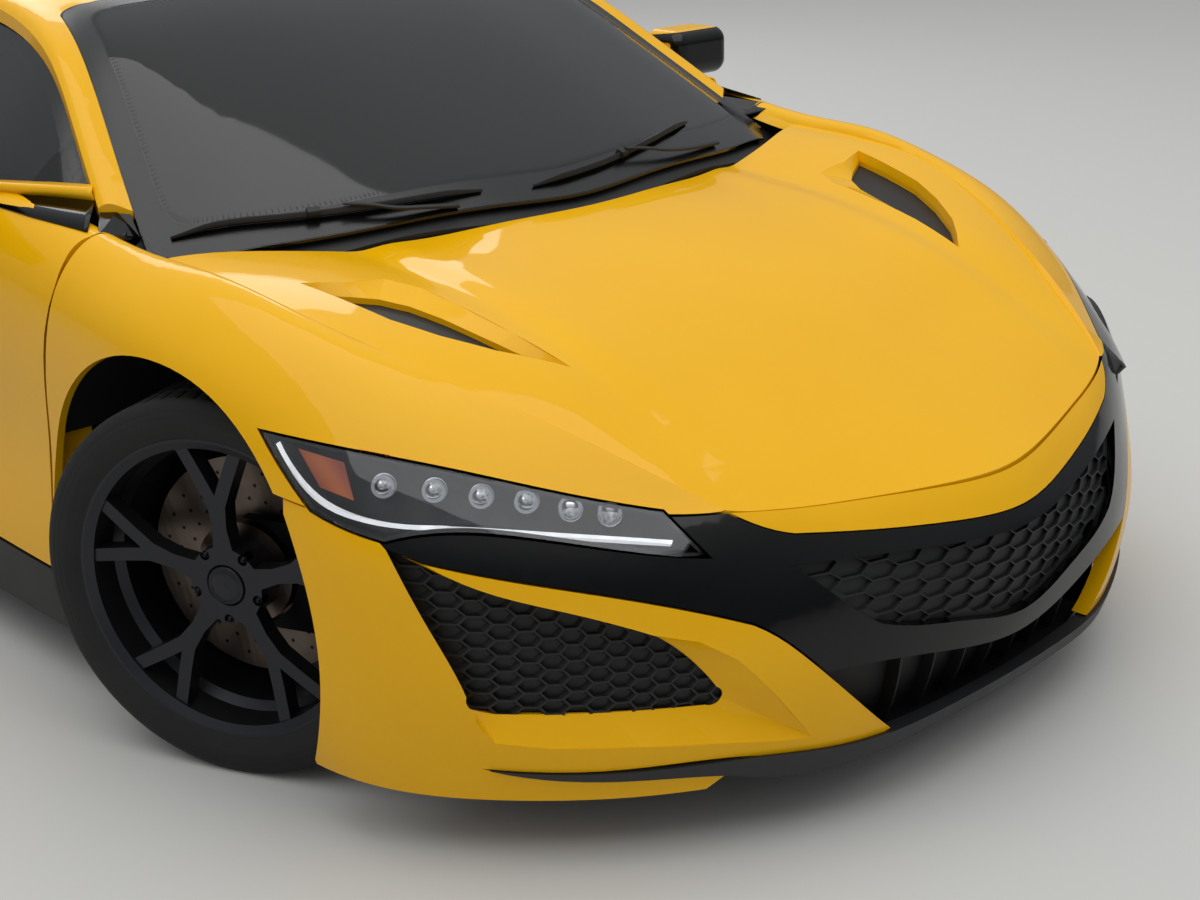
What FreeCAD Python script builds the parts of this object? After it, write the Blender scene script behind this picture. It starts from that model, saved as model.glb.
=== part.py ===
import FreeCAD, Part
import math
import os

from FreeCAD import Matrix, Placement, Rotation, Vector

os.makedirs("parts", exist_ok=True)
doc = FreeCAD.newDocument("coupe_car")

# Driving sizes: lengths in millimetres, angles in degrees
drivingSizes = {
    "overall_length": 4490,
    "overall_width": 1940,
    "overall_height": 1215,
    "front_axle_place": -1261,
    "rear_axle_place": 1369,
    "front_wheel_place": 823.5,
    "rear_wheel_place": 805,
    "kingpin_inset": 75,
    "rest_steer": 24,
    "front_arch_radius": 380,
    "rear_arch_radius": 400,
    "liner_step": 20,
    "liner_thickness": 4,
    "panel_gap": 4,
    "door_gap": 5,
    "seat_gap": 0.3,
    "overrun": 400,
    "skin": 14,
    "hood_skin": 10,
    "door_thickness": 92,
    "glass_thickness": 5,
    "roof_skin": 26,
    "fascia_skin": 34,
    "rail_width": 54,
    "front_tyre_radius": 327,
    "rear_tyre_radius": 345.5,
    "hatch_skin": 22,
    "cowl_drop": 18,
    "cowl_thickness": 8,
    "rail_lap": 4,
    "glass_bow": 9,
    "intake_depth": 46,
    "duct_wall": 5,
    "mesh_depth": 16,
    "corner_mesh_depth": 38,
    "mesh_thickness": 3,
    "mesh_rib": 3,
    "mesh_rib_depth": 8,
    "grille_cell_width": 66,
    "grille_cell_height": 26,
    "corner_cell_width": 34,
    "corner_cell_height": 24,
    "vent_lap": 8,
    "vent_ramp": 18,
    "vent_wall": 9,
    "ledge_depth": 38,
    "slot_depth": 42,
    "slot_fin_depth": 30,
    "slot_fin": 4,
    "slot_pitch": 78,
    "diffuser_inset": 20,
    "lens_thickness": 4,
    "lamp_depth": 62,
    "lamp_unit_radius": 17,
    "lamp_unit_taper": 1.1,
    "lamp_unit_length": 64,
    "lamp_unit_depth": 16,
    "guide_radius": 3.5,
    "guide_depth": 12,
    "reflector_depth": 14,
    "reflector_thickness": 5,
    "reflector_stem": 4,
    "hinge_place": -1000,
    "hinge_reach": 885,
    "hood_hinge_place": -1075,
    "hood_hinge_height": 778,
    "hatch_hinge_place": 394,
    "hatch_hinge_height": 1189,
    "hinge_pin_radius": 6,
    "hinge_knuckle_radius": 12,
    "hinge_height": 745,
    "hinge_arm_height": 24,
    "hinge_arm_reach": 104,
    "hinge_arm_width": 16,
    "hinge_arm_lean": 130,
    "hinge_foot": 8,
    "barrel_knuckle_radius": 7,
    "barrel_pin_radius": 4,
    "hatch_hinge_near": 80,
    "hatch_hinge_far": 160,
    "hatch_lug": 20,
    "hatch_lug_depth": 9,
    "hood_hinge_near": 735,
    "hood_hinge_far": 775,
    "hood_lug": 44,
    "hood_lug_depth": 13,
    "hood_foot_drop": 12,
    "hood_foot_depth": 30,
    "hood_foot_reach": 48,
    "hinge_play": 3,
    "swing_gap": 6,
    "front_liner_inner": 500,
    "rear_liner_inner": 600,
    "liner_foot": 200,
    "hatch_rear_gap": 12,
    "barrel_radius": 240,
    "rim_radius": 258.8,
    "front_rim_half_width": 114,
    "rear_rim_half_width": 146,
    "front_tyre_half_width": 122.5,
    "rear_tyre_half_width": 152.5,
    "disc_radius": 190,
    "disc_thickness": 32,
    "bell_radius": 88,
    "stub_radius": 20,
    "hub_radius": 66,
    "spoke_width": 21,
    "spoke_depth": 30,
    "bolt_circle_radius": 60,
    "bolt_radius": 9,
    "steering_wheel_radius": 178,
    "steering_grip_radius": 15,
    "rim_wall": 5,
    "rim_lip": 9,
    "rim_well": 52,
    "rim_step": 13,
    "hub_front": 82,
    "hub_back": 30,
    "spoke_dish": 16,
    "spoke_setback": 12,
    "bolt_depth": 22,
    "stub_length": 58,
    "bell_wall": 8,
    "disc_inside": -35,
    "post_low": -132,
    "post_high": 128,
    "post_radius": 18,
    "carrier_radius": 46,
    "caliper_radius": 212,
    "caliper_wall": 20,
    "caliper_height": 190,
    "rear_inset": 95,
    "arm_width": 90,
    "arm_thickness": 24,
    "socket_radius": 24,
    "front_arm_start": 480.3,
    "rear_arm_start": 530.3,
    "pipe_start": 1820.3,
    "pipe_height": 300,
    "pipe_radius": 38,
    "pipe_wall": 3,
    "pipe_length": 420,
    "pipe_gap": 4,
    "seat_width": 470,
    "seat_length": 560,
    "seat_height": 170,
    "seat_back_depth": 130,
    "seat_back_height": 720,
    "seat_round": 28,
    "seat_place": 370,
    "seat_front": -330,
    "seat_floor": 135.3,
    "seat_lean": 12,
    "steering_column_x": 370,
    "steering_wheel_y": -350,
    "steering_wheel_z": 720,
    "column_lean": 22,
    "column_length": 280,
    "column_radius": 32,
    "hub_depth": 40,
    "steering_spoke_width": 34,
    "steering_spoke_depth": 14,
    "mirror_half_width": 92,
    "mirror_half_depth": 52,
    "mirror_half_height": 56,
    "mirror_round": 34,
    "mirror_rim": 12,
    "mirror_recess": 8,
    "mirror_place": 1016,
    "mirror_along": -560,
    "mirror_height": 900,
    "mirror_arm_length": 158,
    "mirror_arm_width": 70,
    "mirror_arm_depth": 16,
    "mirror_arm_height": 868,
    "wiper_thickness": 14,
}

sheet = doc.addObject("Spreadsheet::Sheet", "sizes")
for row, (alias, value) in enumerate(drivingSizes.items(), start=1):
    sheet.set(f"A{row}", alias)
    sheet.set(f"B{row}", str(value))
    sheet.setAlias(f"B{row}", alias)
doc.recompute()


def size(alias):
    return float(getattr(sheet, alias))


length = size("overall_length")
halfWidth = size("overall_width") / 2
height = size("overall_height")
gap = size("panel_gap")
overrun = size("overrun")
sides = (1, -1)
# Body lines as shares: y of the length, x of the half width, z of the height

sideStationShares = (-0.4566, -0.4232, -0.3898, -0.3563, -0.3185, -0.2806, -0.2405, -0.2004, -0.1336,
                     -0.0223, 0.0891, 0.167, 0.2339, 0.3051, 0.3786, 0.4454, 0.4722)
# Each row runs from the inner edge over the crest and shoulder down the flank to the sill
sideSectionShares = (
    ((0.521, 0.4461), (0.569, 0.4346), (0.61, 0.4156), (0.637, 0.3827), (0.652, 0.3128), (0.652, 0.2222), (0.619, 0.0905)),
    ((0.616, 0.5119), (0.696, 0.479), (0.771, 0.4403), (0.816, 0.3951), (0.831, 0.321), (0.828, 0.2222), (0.799, 0.0905)),
    ((0.693, 0.563), (0.789, 0.5391), (0.871, 0.4897), (0.923, 0.4321), (0.939, 0.3457), (0.937, 0.2305), (0.912, 0.0905)),
    ((0.761, 0.6049), (0.83, 0.6008), (0.912, 0.5531), (0.962, 0.4774), (0.975, 0.3786), (0.974, 0.2305), (0.946, 0.0905)),
    ((0.809, 0.6403), (0.851, 0.6444), (0.938, 0.5942), (0.979, 0.5103), (0.987, 0.3868), (0.985, 0.2305), (0.954, 0.0905)),
    ((0.825, 0.6584), (0.864, 0.6708), (0.954, 0.6214), (0.99, 0.535), (0.996, 0.3951), (0.992, 0.2305), (0.959, 0.0905)),
    ((0.831, 0.6634), (0.871, 0.6774), (0.954, 0.6321), (0.988, 0.535), (0.992, 0.3951), (0.99, 0.2305), (0.964, 0.0905)),
    ((0.84, 0.6872), (0.887, 0.693), (0.954, 0.642), (0.981, 0.5267), (0.977, 0.3868), (0.987, 0.2305), (0.969, 0.0905)),
    ((0.871, 0.7243), (0.915, 0.7144), (0.969, 0.6502), (0.977, 0.5267), (0.957, 0.3786), (0.979, 0.2222), (0.971, 0.0905)),
    ((0.876, 0.7325), (0.928, 0.7202), (0.977, 0.6543), (0.969, 0.5267), (0.933, 0.3704), (0.969, 0.214), (0.969, 0.0905)),
    ((0.876, 0.7366), (0.93, 0.7243), (0.979, 0.6626), (0.967, 0.535), (0.928, 0.3704), (0.969, 0.214), (0.969, 0.0905)),
    ((0.845, 0.7572), (0.907, 0.7449), (0.974, 0.6831), (0.979, 0.5597), (0.969, 0.3868), (0.979, 0.2222), (0.969, 0.0905)),
    ((0.825, 0.7695), (0.895, 0.7588), (0.974, 0.6996), (0.996, 0.5761), (0.996, 0.3951), (0.988, 0.2305), (0.969, 0.0905)),
    ((0.781, 0.7753), (0.871, 0.7671), (0.971, 0.7062), (0.998, 0.5844), (0.999, 0.4033), (0.99, 0.2305), (0.967, 0.0905)),
    ((0.784, 0.772), (0.864, 0.7621), (0.951, 0.7037), (0.979, 0.5844), (0.985, 0.4033), (0.974, 0.2305), (0.943, 0.0905)),
    ((0.773, 0.7638), (0.825, 0.7523), (0.881, 0.6955), (0.918, 0.5761), (0.923, 0.4033), (0.907, 0.2305), (0.871, 0.0905)),
    ((0.738, 0.7605), (0.778, 0.7473), (0.809, 0.6872), (0.84, 0.5679), (0.845, 0.4033), (0.83, 0.2305), (0.794, 0.0905)),
)

# Nose: rows from the hood's front edge down, points from the middle round to the flank
noseShares = (
    (
        (0, -0.4688, 0.4461), (0.165, -0.465, 0.4502), (0.349, -0.4555, 0.4609),
        (0.521, -0.4421, 0.4757), (0.68, -0.4198, 0.4881), (0.814, -0.3976, 0.5086),
        (0.912, -0.3697, 0.5226), (0.948, -0.3452, 0.5267),
    ),
    (
        (0, -0.4871, 0.4156), (0.165, -0.4811, 0.4222), (0.349, -0.4699, 0.4329),
        (0.521, -0.4559, 0.4469), (0.691, -0.4325, 0.451), (0.825, -0.4087, 0.4691),
        (0.92, -0.3786, 0.4815), (0.961, -0.3497, 0.4856),
    ),
    (
        (0, -0.4951, 0.3695), (0.165, -0.4889, 0.3819), (0.349, -0.4777, 0.3975),
        (0.531, -0.4615, 0.4115), (0.701, -0.4399, 0.4156), (0.835, -0.4165, 0.4239),
        (0.93, -0.3875, 0.428), (0.973, -0.3519, 0.428),
    ),
    (
        (0, -0.4991, 0.3292), (0.165, -0.4953, 0.3292), (0.349, -0.4855, 0.3292),
        (0.536, -0.4688, 0.3292), (0.711, -0.4454, 0.3292), (0.845, -0.4209, 0.3292),
        (0.939, -0.3898, 0.3292), (0.981, -0.3519, 0.3292),
    ),
    (
        (0, -0.4996, 0.2469), (0.165, -0.4967, 0.2469), (0.349, -0.4891, 0.2469),
        (0.536, -0.4731, 0.2469), (0.711, -0.4488, 0.2469), (0.845, -0.422, 0.2469),
        (0.938, -0.3898, 0.2469), (0.979, -0.3519, 0.2469),
    ),
    (
        (0, -0.4962, 0.1646), (0.165, -0.4944, 0.1646), (0.349, -0.4878, 0.1646),
        (0.534, -0.4708, 0.1646), (0.706, -0.4465, 0.1646), (0.837, -0.4187, 0.1646),
        (0.93, -0.3875, 0.1646), (0.969, -0.3519, 0.1646),
    ),
    (
        (0, -0.4878, 0.0905), (0.165, -0.4866, 0.0905), (0.349, -0.4817, 0.0905),
        (0.531, -0.4655, 0.0905), (0.696, -0.4421, 0.0905), (0.825, -0.4143, 0.0905),
        (0.912, -0.3853, 0.0905), (0.948, -0.3519, 0.0905),
    ),
)

# Hood: rows from nose to cowl, heights over the places across
hoodAcrossShares = (0, 0.227, 0.392, 0.448, 0.49, 0.536, 0.67, 0.825)
hoodStationShares = (-0.5011, -0.4766, -0.4521, -0.4232, -0.3898, -0.3563, -0.3185, -0.2806, -0.245, -0.2183)
hoodHeightShares = (
    (0.3901, 0.3802, 0.3621, 0.3539, 0.3465, 0.3374, 0.3045, 0.2469),
    (0.4329, 0.423, 0.4115, 0.4058, 0.4, 0.3934, 0.3621, 0.3128),
    (0.4741, 0.4667, 0.4613, 0.4588, 0.4547, 0.4527, 0.4296, 0.3868),
    (0.5169, 0.5119, 0.5107, 0.5103, 0.5066, 0.5078, 0.4955, 0.4609),
    (0.563, 0.5613, 0.5642, 0.5654, 0.5617, 0.565, 0.5613, 0.535),
    (0.6, 0.5984, 0.6, 0.6008, 0.5967, 0.6004, 0.6058, 0.5967),
    (0.6305, 0.6272, 0.6251, 0.6251, 0.621, 0.6247, 0.6362, 0.6412),
    (0.6494, 0.6453, 0.6383, 0.6379, 0.6337, 0.6379, 0.6535, 0.6593),
    (0.6634, 0.6593, 0.6494, 0.6486, 0.6461, 0.6494, 0.6617, 0.665),
    (0.6716, 0.6675, 0.658, 0.6576, 0.6564, 0.6584, 0.6667, 0.67),
)

# Canopy: station, height on the middle line, and place and height of the roof rail
canopyShares = (
    (-0.2895, 0.6296, 0.897, 0.4938),
    (-0.2561, 0.7053, 0.858, 0.5761),
    (-0.2227, 0.772, 0.811, 0.6543),
    (-0.1893, 0.837, 0.758, 0.7366),
    (-0.1559, 0.8971, 0.701, 0.8206),
    (-0.1225, 0.9449, 0.649, 0.8955),
    (-0.0846, 0.9778, 0.614, 0.9407),
    (-0.0223, 1, 0.598, 0.9679),
    (0.0445, 0.9926, 0.601, 0.9613),
    (0.1114, 0.963, 0.621, 0.9235),
    (0.1782, 0.9177, 0.655, 0.8708),
    (0.245, 0.8683, 0.689, 0.8214),
    (0.3118, 0.823, 0.713, 0.786),
    (0.3786, 0.7901, 0.722, 0.7671),
    (0.4343, 0.7778, 0.711, 0.7613),
    (0.4766, 0.7819, 0.67, 0.7613),
)
canopyAcrossShares = (0, 0.35, 0.68, 0.88, 1)
canopyCrownPower = 2.4

# Tail: rows from the deck's edge down, points from the middle round to the flank
tailShares = (
    (
        (0, 0.4777, 0.7778), (0.361, 0.4762, 0.7761), (0.619, 0.4699, 0.7654),
        (0.753, 0.4577, 0.7556), (0.825, 0.4365, 0.7539), (0.856, 0.3964, 0.7613),
    ),
    (
        (0, 0.4822, 0.6914), (0.361, 0.48, 0.6914), (0.639, 0.4715, 0.6914),
        (0.809, 0.4577, 0.6914), (0.895, 0.4343, 0.6955), (0.938, 0.3964, 0.6996),
    ),
    (
        (0, 0.4933, 0.5761), (0.361, 0.4911, 0.5761), (0.67, 0.4811, 0.5761),
        (0.847, 0.4633, 0.5761), (0.93, 0.4365, 0.5761), (0.971, 0.3964, 0.5761),
    ),
    (
        (0, 0.5, 0.4033), (0.361, 0.4978, 0.4033), (0.67, 0.486, 0.4033),
        (0.854, 0.4655, 0.4033), (0.934, 0.4388, 0.4033), (0.975, 0.3964, 0.4033),
    ),
    (
        (0, 0.4978, 0.2305), (0.361, 0.4955, 0.2305), (0.67, 0.4837, 0.2305),
        (0.84, 0.4633, 0.2305), (0.92, 0.4365, 0.2305), (0.965, 0.3964, 0.2305),
    ),
    (
        (0, 0.4878, 0.1235), (0.361, 0.4855, 0.1235), (0.649, 0.4744, 0.1235),
        (0.804, 0.4566, 0.1235), (0.889, 0.4321, 0.1235), (0.94, 0.3964, 0.1235),
    ),
)


def place(share, side=1):
    """A point of the body from its shares."""
    return Vector(side * share[0] * halfWidth, share[1] * length, share[2] * height)


def meanParameters(rows):
    """Curve parameters from 0 to 1 by the mean distance between the points of all rows."""
    steps = [sum((row[i + 1] - row[i]).Length for row in rows) for i in range(len(rows[0]) - 1)]
    parameters = [0.0]
    for step in steps:
        parameters.append(parameters[-1] + step)
    return [parameter / parameters[-1] for parameter in parameters]


def curveThrough(points, parameters):
    curve = Part.BSplineCurve()
    curve.interpolate(Points=points, Parameters=parameters)
    return curve


def skinFace(rows):
    """A smooth face through rows of points."""
    across = meanParameters(rows)
    along = meanParameters(list(zip(*rows)))
    rowCurves = [curveThrough(list(row), across) for row in rows]
    columns = list(zip(*[curve.getPoles() for curve in rowCurves]))
    columnCurves = [curveThrough(list(column), along) for column in columns]
    poles = list(zip(*[curve.getPoles() for curve in columnCurves]))
    surface = Part.BSplineSurface()
    surface.buildFromPolesMultsKnots(
        [list(row) for row in poles],
        columnCurves[0].getMultiplicities(), rowCurves[0].getMultiplicities(),
        columnCurves[0].getKnots(), rowCurves[0].getKnots(),
        False, False, 3, 3)
    return surface.toShape()


def mirrored(row):
    """A row of points from the middle outwards, doubled to run from side to side."""
    return [Vector(-p.x, p.y, p.z) for p in reversed(row[1:])] + list(row)


def sideFace(side):
    rows = []
    for station, section in zip(sideStationShares, sideSectionShares):
        rows.append([place((x, station, z), side) for x, z in section])
    return skinFace(rows)


def noseFace():
    return skinFace([mirrored([place(share) for share in row]) for row in noseShares])


def tailFace():
    return skinFace([mirrored([place(share) for share in row]) for row in tailShares])


def hoodFace():
    rows = []
    for station, heights in zip(hoodStationShares, hoodHeightShares):
        rows.append(mirrored([place((x, station, z)) for x, z in zip(hoodAcrossShares, heights)]))
    return skinFace(rows)


def canopyRow(station, middle, railPlace, railHeight):
    """One section of windscreen or roof: crowned glass or panel, then the rounded rail."""
    row = []
    for across in canopyAcrossShares:
        drop = (middle - railHeight) * across ** canopyCrownPower
        row.append(place((railPlace * across, station, middle - drop)))
    rail = row[-1]
    railWidth = size("rail_width")
    row.append(rail + Vector(railWidth / 2, 0, 0))
    row.append(rail + Vector(railWidth, 0, -railWidth / 3))
    return row


def canopyFace():
    return skinFace([mirrored(canopyRow(*shares)) for shares in canopyShares])

# Outlines as runs of points: two points make a straight edge, more a smooth one

hoodPlanShares = (
    ((0, -0.4871), (0.165, -0.4813), (0.309, -0.4726), (0.433, -0.4644), (0.521, -0.4559)),
    ((0.521, -0.4559), (0.569, -0.4399), (0.619, -0.4209), (0.693, -0.3902), (0.753, -0.3635), (0.799, -0.3341),
     (0.82, -0.2895), (0.822, -0.2416)),
    ((0.822, -0.2416), (0.742, -0.2477), (0.619, -0.2572), (0.433, -0.2655), (0.221, -0.2757), (0, -0.2811)),
)
# Slanting recesses: the outline at the surface, and the narrower one at their floor
ventTopShares = (
    (0.733, -0.2962), (0.66, -0.3007), (0.577, -0.3011), (0.549, -0.3136), (0.545, -0.3332), (0.536, -0.3608),
    (0.52, -0.3864), (0.562, -0.3786), (0.605, -0.3695), (0.657, -0.353), (0.694, -0.3363), (0.715, -0.3156),
)
ventFloorShares = (
    (0.727, -0.298), (0.66, -0.3056), (0.625, -0.3107), (0.598, -0.3207), (0.582, -0.3352), (0.562, -0.3597),
    (0.528, -0.3835), (0.56, -0.3782), (0.602, -0.3693), (0.654, -0.3528), (0.691, -0.3361), (0.712, -0.3156),
)
ventPadShares = (
    ((0.52, -0.3864), (0.605, -0.3695), (0.657, -0.353), (0.694, -0.3363), (0.715, -0.3156), (0.733, -0.2962)),
    ((0.733, -0.2962), (0.577, -0.3011)),
    ((0.577, -0.3011), (0.549, -0.3136), (0.545, -0.3332), (0.536, -0.3608), (0.52, -0.3864)),
)
ledgeTopShares = (
    (0.722, 0.2469), (0.685, 0.3226), (0.603, 0.3029), (0.557, 0.2757), (0.515, 0.2329), (0.436, 0.1473), (0.485, 0.1514),
    (0.577, 0.163), (0.68, 0.1712), (0.784, 0.1753), (0.84, 0.1827), (0.861, 0.2123), (0.864, 0.2469),
)
ledgeFloorShares = (
    (0.722, 0.2469), (0.685, 0.321), (0.637, 0.3029), (0.598, 0.27), (0.569, 0.2387), (0.557, 0.2156), (0.569, 0.2091),
    (0.619, 0.2095), (0.701, 0.2111), (0.784, 0.2132), (0.837, 0.2173), (0.864, 0.2296), (0.864, 0.2469),
)
slotShares = (
    ((0, 0.1053), (0.295, 0.1053)),
    ((0.295, 0.1053), (0.392, 0.2016), (0.438, 0.2453)),
    ((0.438, 0.2453), (0, 0.2453)),
)
# Lamp units from the outer end inwards, the light guide round them and the side reflector
unitShares = (
    (0.895, -0.3837, 0.4889), (0.847, -0.3964, 0.4848), (0.801, -0.4076, 0.4774), (0.753, -0.4176, 0.47),
    (0.706, -0.4272, 0.4617), (0.661, -0.4354, 0.456),
)
guideShares = (
    (0.954, -0.3459, 0.5226), (0.956, -0.3566, 0.4881), (0.951, -0.3677, 0.4667), (0.936, -0.3788, 0.456),
    (0.908, -0.3904, 0.4502), (0.852, -0.4053, 0.4469), (0.76, -0.4256, 0.4387), (0.674, -0.4423, 0.4288),
    (0.615, -0.453, 0.4214),
)
reflectorShares = (
    ((0.945, -0.3537, 0.5202), (0.916, -0.3699, 0.5111)),
    ((0.916, -0.3699, 0.5111), (0.928, -0.3775, 0.4724)),
    ((0.928, -0.3775, 0.4724), (0.947, -0.3653, 0.4815)),
    ((0.947, -0.3653, 0.4815), (0.945, -0.3537, 0.5202)),
)
lampShares = (
    ((0.959, -0.339, 0.5317), (0.918, -0.3648, 0.5267), (0.809, -0.398, 0.5029), (0.725, -0.4178, 0.4798),
     (0.598, -0.4454, 0.4502)),
    ((0.598, -0.4454, 0.4502), (0.569, -0.4588, 0.4008)),
    ((0.569, -0.4588, 0.4008), (0.653, -0.4468, 0.414), (0.764, -0.4265, 0.4362), (0.858, -0.4071, 0.4469),
     (0.921, -0.3909, 0.4337)),
    ((0.921, -0.3909, 0.4337), (0.943, -0.3764, 0.442), (0.957, -0.3635, 0.4543)),
    ((0.957, -0.3635, 0.4543), (0.962, -0.3508, 0.4938), (0.959, -0.339, 0.5317)),
)
beakShares = (
    ((0, 0.3695), (0.186, 0.3811), (0.309, 0.3942), (0.433, 0.4091)),
    ((0.433, 0.4091), (0.474, 0.4214), (0.521, 0.4469)),
    ((0.521, 0.4469), (0.521, 0.5761)),
    ((0.521, 0.5761), (0, 0.5761)),
)
noseBandShares = (
    ((0, 0.3695), (0.186, 0.3811), (0.309, 0.3942), (0.433, 0.4091)),
    ((0.433, 0.4091), (0.474, 0.4214), (0.523, 0.4473)),
    ((0.523, 0.4473), (0.598, 0.4506)),
    ((0.598, 0.4506), (0.742, 0.4938)),
    ((0.742, 0.4938), (0.928, 0.4691)),
    ((0.928, 0.4691), (0.924, 0.4247)),
    ((0.924, 0.4247), (0.895, 0.4115)),
    ((0.895, 0.4115), (0.812, 0.3926), (0.733, 0.3745), (0.623, 0.3457), (0.526, 0.3144)),
    ((0.526, 0.3144), (0.496, 0.2963), (0.451, 0.2593), (0.425, 0.237)),
    ((0.425, 0.237), (0.216, 0.2173), (0, 0.1918)),
)
grilleShares = (
    ((0, 0.3457), (0.206, 0.3572), (0.388, 0.3712)),
    ((0.388, 0.3712), (0.454, 0.3745)),
    ((0.454, 0.3745), (0.419, 0.349), (0.363, 0.3045), (0.325, 0.2823)),
    ((0.325, 0.2823), (0.269, 0.2683), (0.154, 0.2486), (0, 0.2255)),
)
cornerShares = (
    ((0.895, 0.4107), (0.812, 0.3909), (0.733, 0.3728), (0.623, 0.344), (0.526, 0.3128)),
    ((0.526, 0.3128), (0.496, 0.2947), (0.451, 0.2576), (0.396, 0.2099), (0.286, 0.1243)),
    ((0.286, 0.1243), (0.299, 0.1202), (0.534, 0.1366), (0.744, 0.1374), (0.847, 0.1424)),
    ((0.847, 0.1424), (0.773, 0.1251), (0.656, 0.1185), (0.556, 0.1103)),
    ((0.556, 0.1103), (0.577, 0.0922)),
    ((0.577, 0.0922), (1.021, 0.0922)),
    ((1.021, 0.0922), (1.021, 0.4938)),
    ((1.021, 0.4938), (0.948, 0.4938)),
    ((0.948, 0.4938), (0.922, 0.4239)),
    ((0.922, 0.4239), (0.918, 0.3959), (0.901, 0.3333), (0.872, 0.2469)),
    ((0.872, 0.2469), (0.867, 0.2305), (0.849, 0.2198), (0.827, 0.214)),
    ((0.827, 0.214), (0.576, 0.2074)),
    ((0.576, 0.2074), (0.563, 0.2074), (0.555, 0.2156), (0.562, 0.2305)),
    ((0.562, 0.2305), (0.593, 0.2683), (0.639, 0.3062), (0.685, 0.3267), (0.76, 0.3531), (0.848, 0.3827), (0.895, 0.4107)),
)
intakeShares = (
    ((0.924, 0.4247), (0.76, 0.3868)),
    ((0.76, 0.3868), (0.577, 0.321), (0.526, 0.1934)),
    ((0.526, 0.1934), (0.887, 0.1934)),
    ((0.887, 0.1934), (0.928, 0.3457), (0.924, 0.4247)),
)
splitterShares = (
    ((0, 0.1235), (0.286, 0.121), (0.401, 0.1251), (0.534, 0.135), (0.744, 0.1358), (0.84, 0.1407)),
    ((0.84, 0.1407), (0.773, 0.1276), (0.656, 0.121), (0.552, 0.1119)),
    ((0.552, 0.1119), (0.454, 0.093), (0.401, 0.0889)),
    ((0.401, 0.0889), (0.286, 0.0905), (0, 0.0938)),
)
fenderSideShares = (
    ((-0.4579, 0.7407), (-0.4579, 0.4432)),
    ((-0.4579, 0.4432), (-0.4421, 0.4494), (-0.4232, 0.4609), (-0.4009, 0.4733)),
    ((-0.4009, 0.4733), (-0.3646, 0.4564)),
    ((-0.3646, 0.4564), (-0.3341, 0.465)),
    ((-0.3341, 0.465), (-0.2806, 0.2469)),
    ((-0.2806, 0.2469), (-0.245, 0.1235)),
    ((-0.245, 0.1235), (-0.1942, 0.1235)),
    ((-0.1942, 0.1235), (-0.1942, 0.1934)),
    ((-0.1942, 0.1934), (-0.196, 0.3292), (-0.2, 0.4444), (-0.206, 0.5432), (-0.2105, 0.6173), (-0.2116, 0.6996)),
    ((-0.2116, 0.6996), (-0.2071, 0.7407)),
    ((-0.2071, 0.7407), (-0.4579, 0.7407)),
)
doorSideShares = (
    ((-0.2116, 0.6996), (-0.2105, 0.6173), (-0.206, 0.5432), (-0.2, 0.4444), (-0.196, 0.3292), (-0.1942, 0.1934)),
    ((-0.1942, 0.1934), (0.0713, 0.1934)),
    ((0.0713, 0.1934), (0.0835, 0.2716), (0.0924, 0.4609), (0.0891, 0.6091), (0.0802, 0.7901)),
    ((0.0802, 0.7901), (-0.2004, 0.7901)),
    ((-0.2004, 0.7901), (-0.2116, 0.6996)),
)
quarterSideShares = (
    ((0.0713, 0.1934), (0.0835, 0.2716), (0.0924, 0.4609), (0.0891, 0.6091), (0.0802, 0.8148)),
    ((0.0802, 0.8148), (0.4722, 0.8148)),
    ((0.4722, 0.8148), (0.4722, 0.6914)),
    ((0.4722, 0.6914), (0.412, 0.6749)),
    ((0.412, 0.6749), (0.4009, 0.5761), (0.3987, 0.4115)),
    ((0.3987, 0.4115), (0.3987, 0.1934)),
    ((0.3987, 0.1934), (0.0713, 0.1934)),
)
sideIntakeShares = (
    ((0.1047, 0.6749), (0.1114, 0.5267), (0.1158, 0.4115), (0.1247, 0.3539)),
    ((0.1247, 0.3539), (0.1559, 0.3704), (0.1826, 0.4609)),
    ((0.1826, 0.4609), (0.1915, 0.5761), (0.1737, 0.6831)),
    ((0.1737, 0.6831), (0.1381, 0.6996), (0.1047, 0.6749)),
)
doorGlassShares = (
    ((-0.1759, 0.4115), (0.0784, 0.4115)),
    ((0.0784, 0.4115), (0.0857, 1.07)),
    ((0.0857, 1.07), (-0.1759, 1.07)),
    ((-0.1759, 1.07), (-0.1759, 0.4115)),
)
screenPlanShares = (
    ((0, -0.1029), (0.309, -0.0998), (0.536, -0.0924)),
    ((0.536, -0.0924), (0.582, -0.0909), (0.606, -0.0953)),
    ((0.606, -0.0953), (0.644, -0.1225), (0.697, -0.1559), (0.754, -0.1893), (0.807, -0.2227)),
    ((0.807, -0.2227), (0.722, -0.2405)),
    ((0.722, -0.2405), (0.433, -0.2617), (0.206, -0.2706), (0, -0.2751)),
)
hatchPlanShares = (
    ((0, 0.0891), (0.309, 0.0909), (0.572, 0.0958)),
    ((0.572, 0.0958), (0.608, 0.1336), (0.644, 0.1893), (0.675, 0.245), (0.701, 0.3118), (0.707, 0.3786), (0.689, 0.4454),
     (0.665, 0.4733)),
    ((0.665, 0.4733), (0.361, 0.4757), (0, 0.4771)),
)
hatchGlassShares = (
    ((0, 0.0969), (0.309, 0.0987), (0.536, 0.1031)),
    ((0.536, 0.1031), (0.579, 0.1448), (0.61, 0.1893), (0.639, 0.245), (0.66, 0.3118)),
    ((0.66, 0.3118), (0.361, 0.3241), (0, 0.3274)),
)
pillarFootShares = (
    ((0.758, -0.206), (0.825, -0.1942)),
    ((0.825, -0.1942), (0.928, -0.1849)),
    ((0.928, -0.1849), (0.928, -0.3029)),
    ((0.928, -0.3029), (0.619, -0.3029)),
    ((0.619, -0.3029), (0.758, -0.206)),
)
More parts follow.
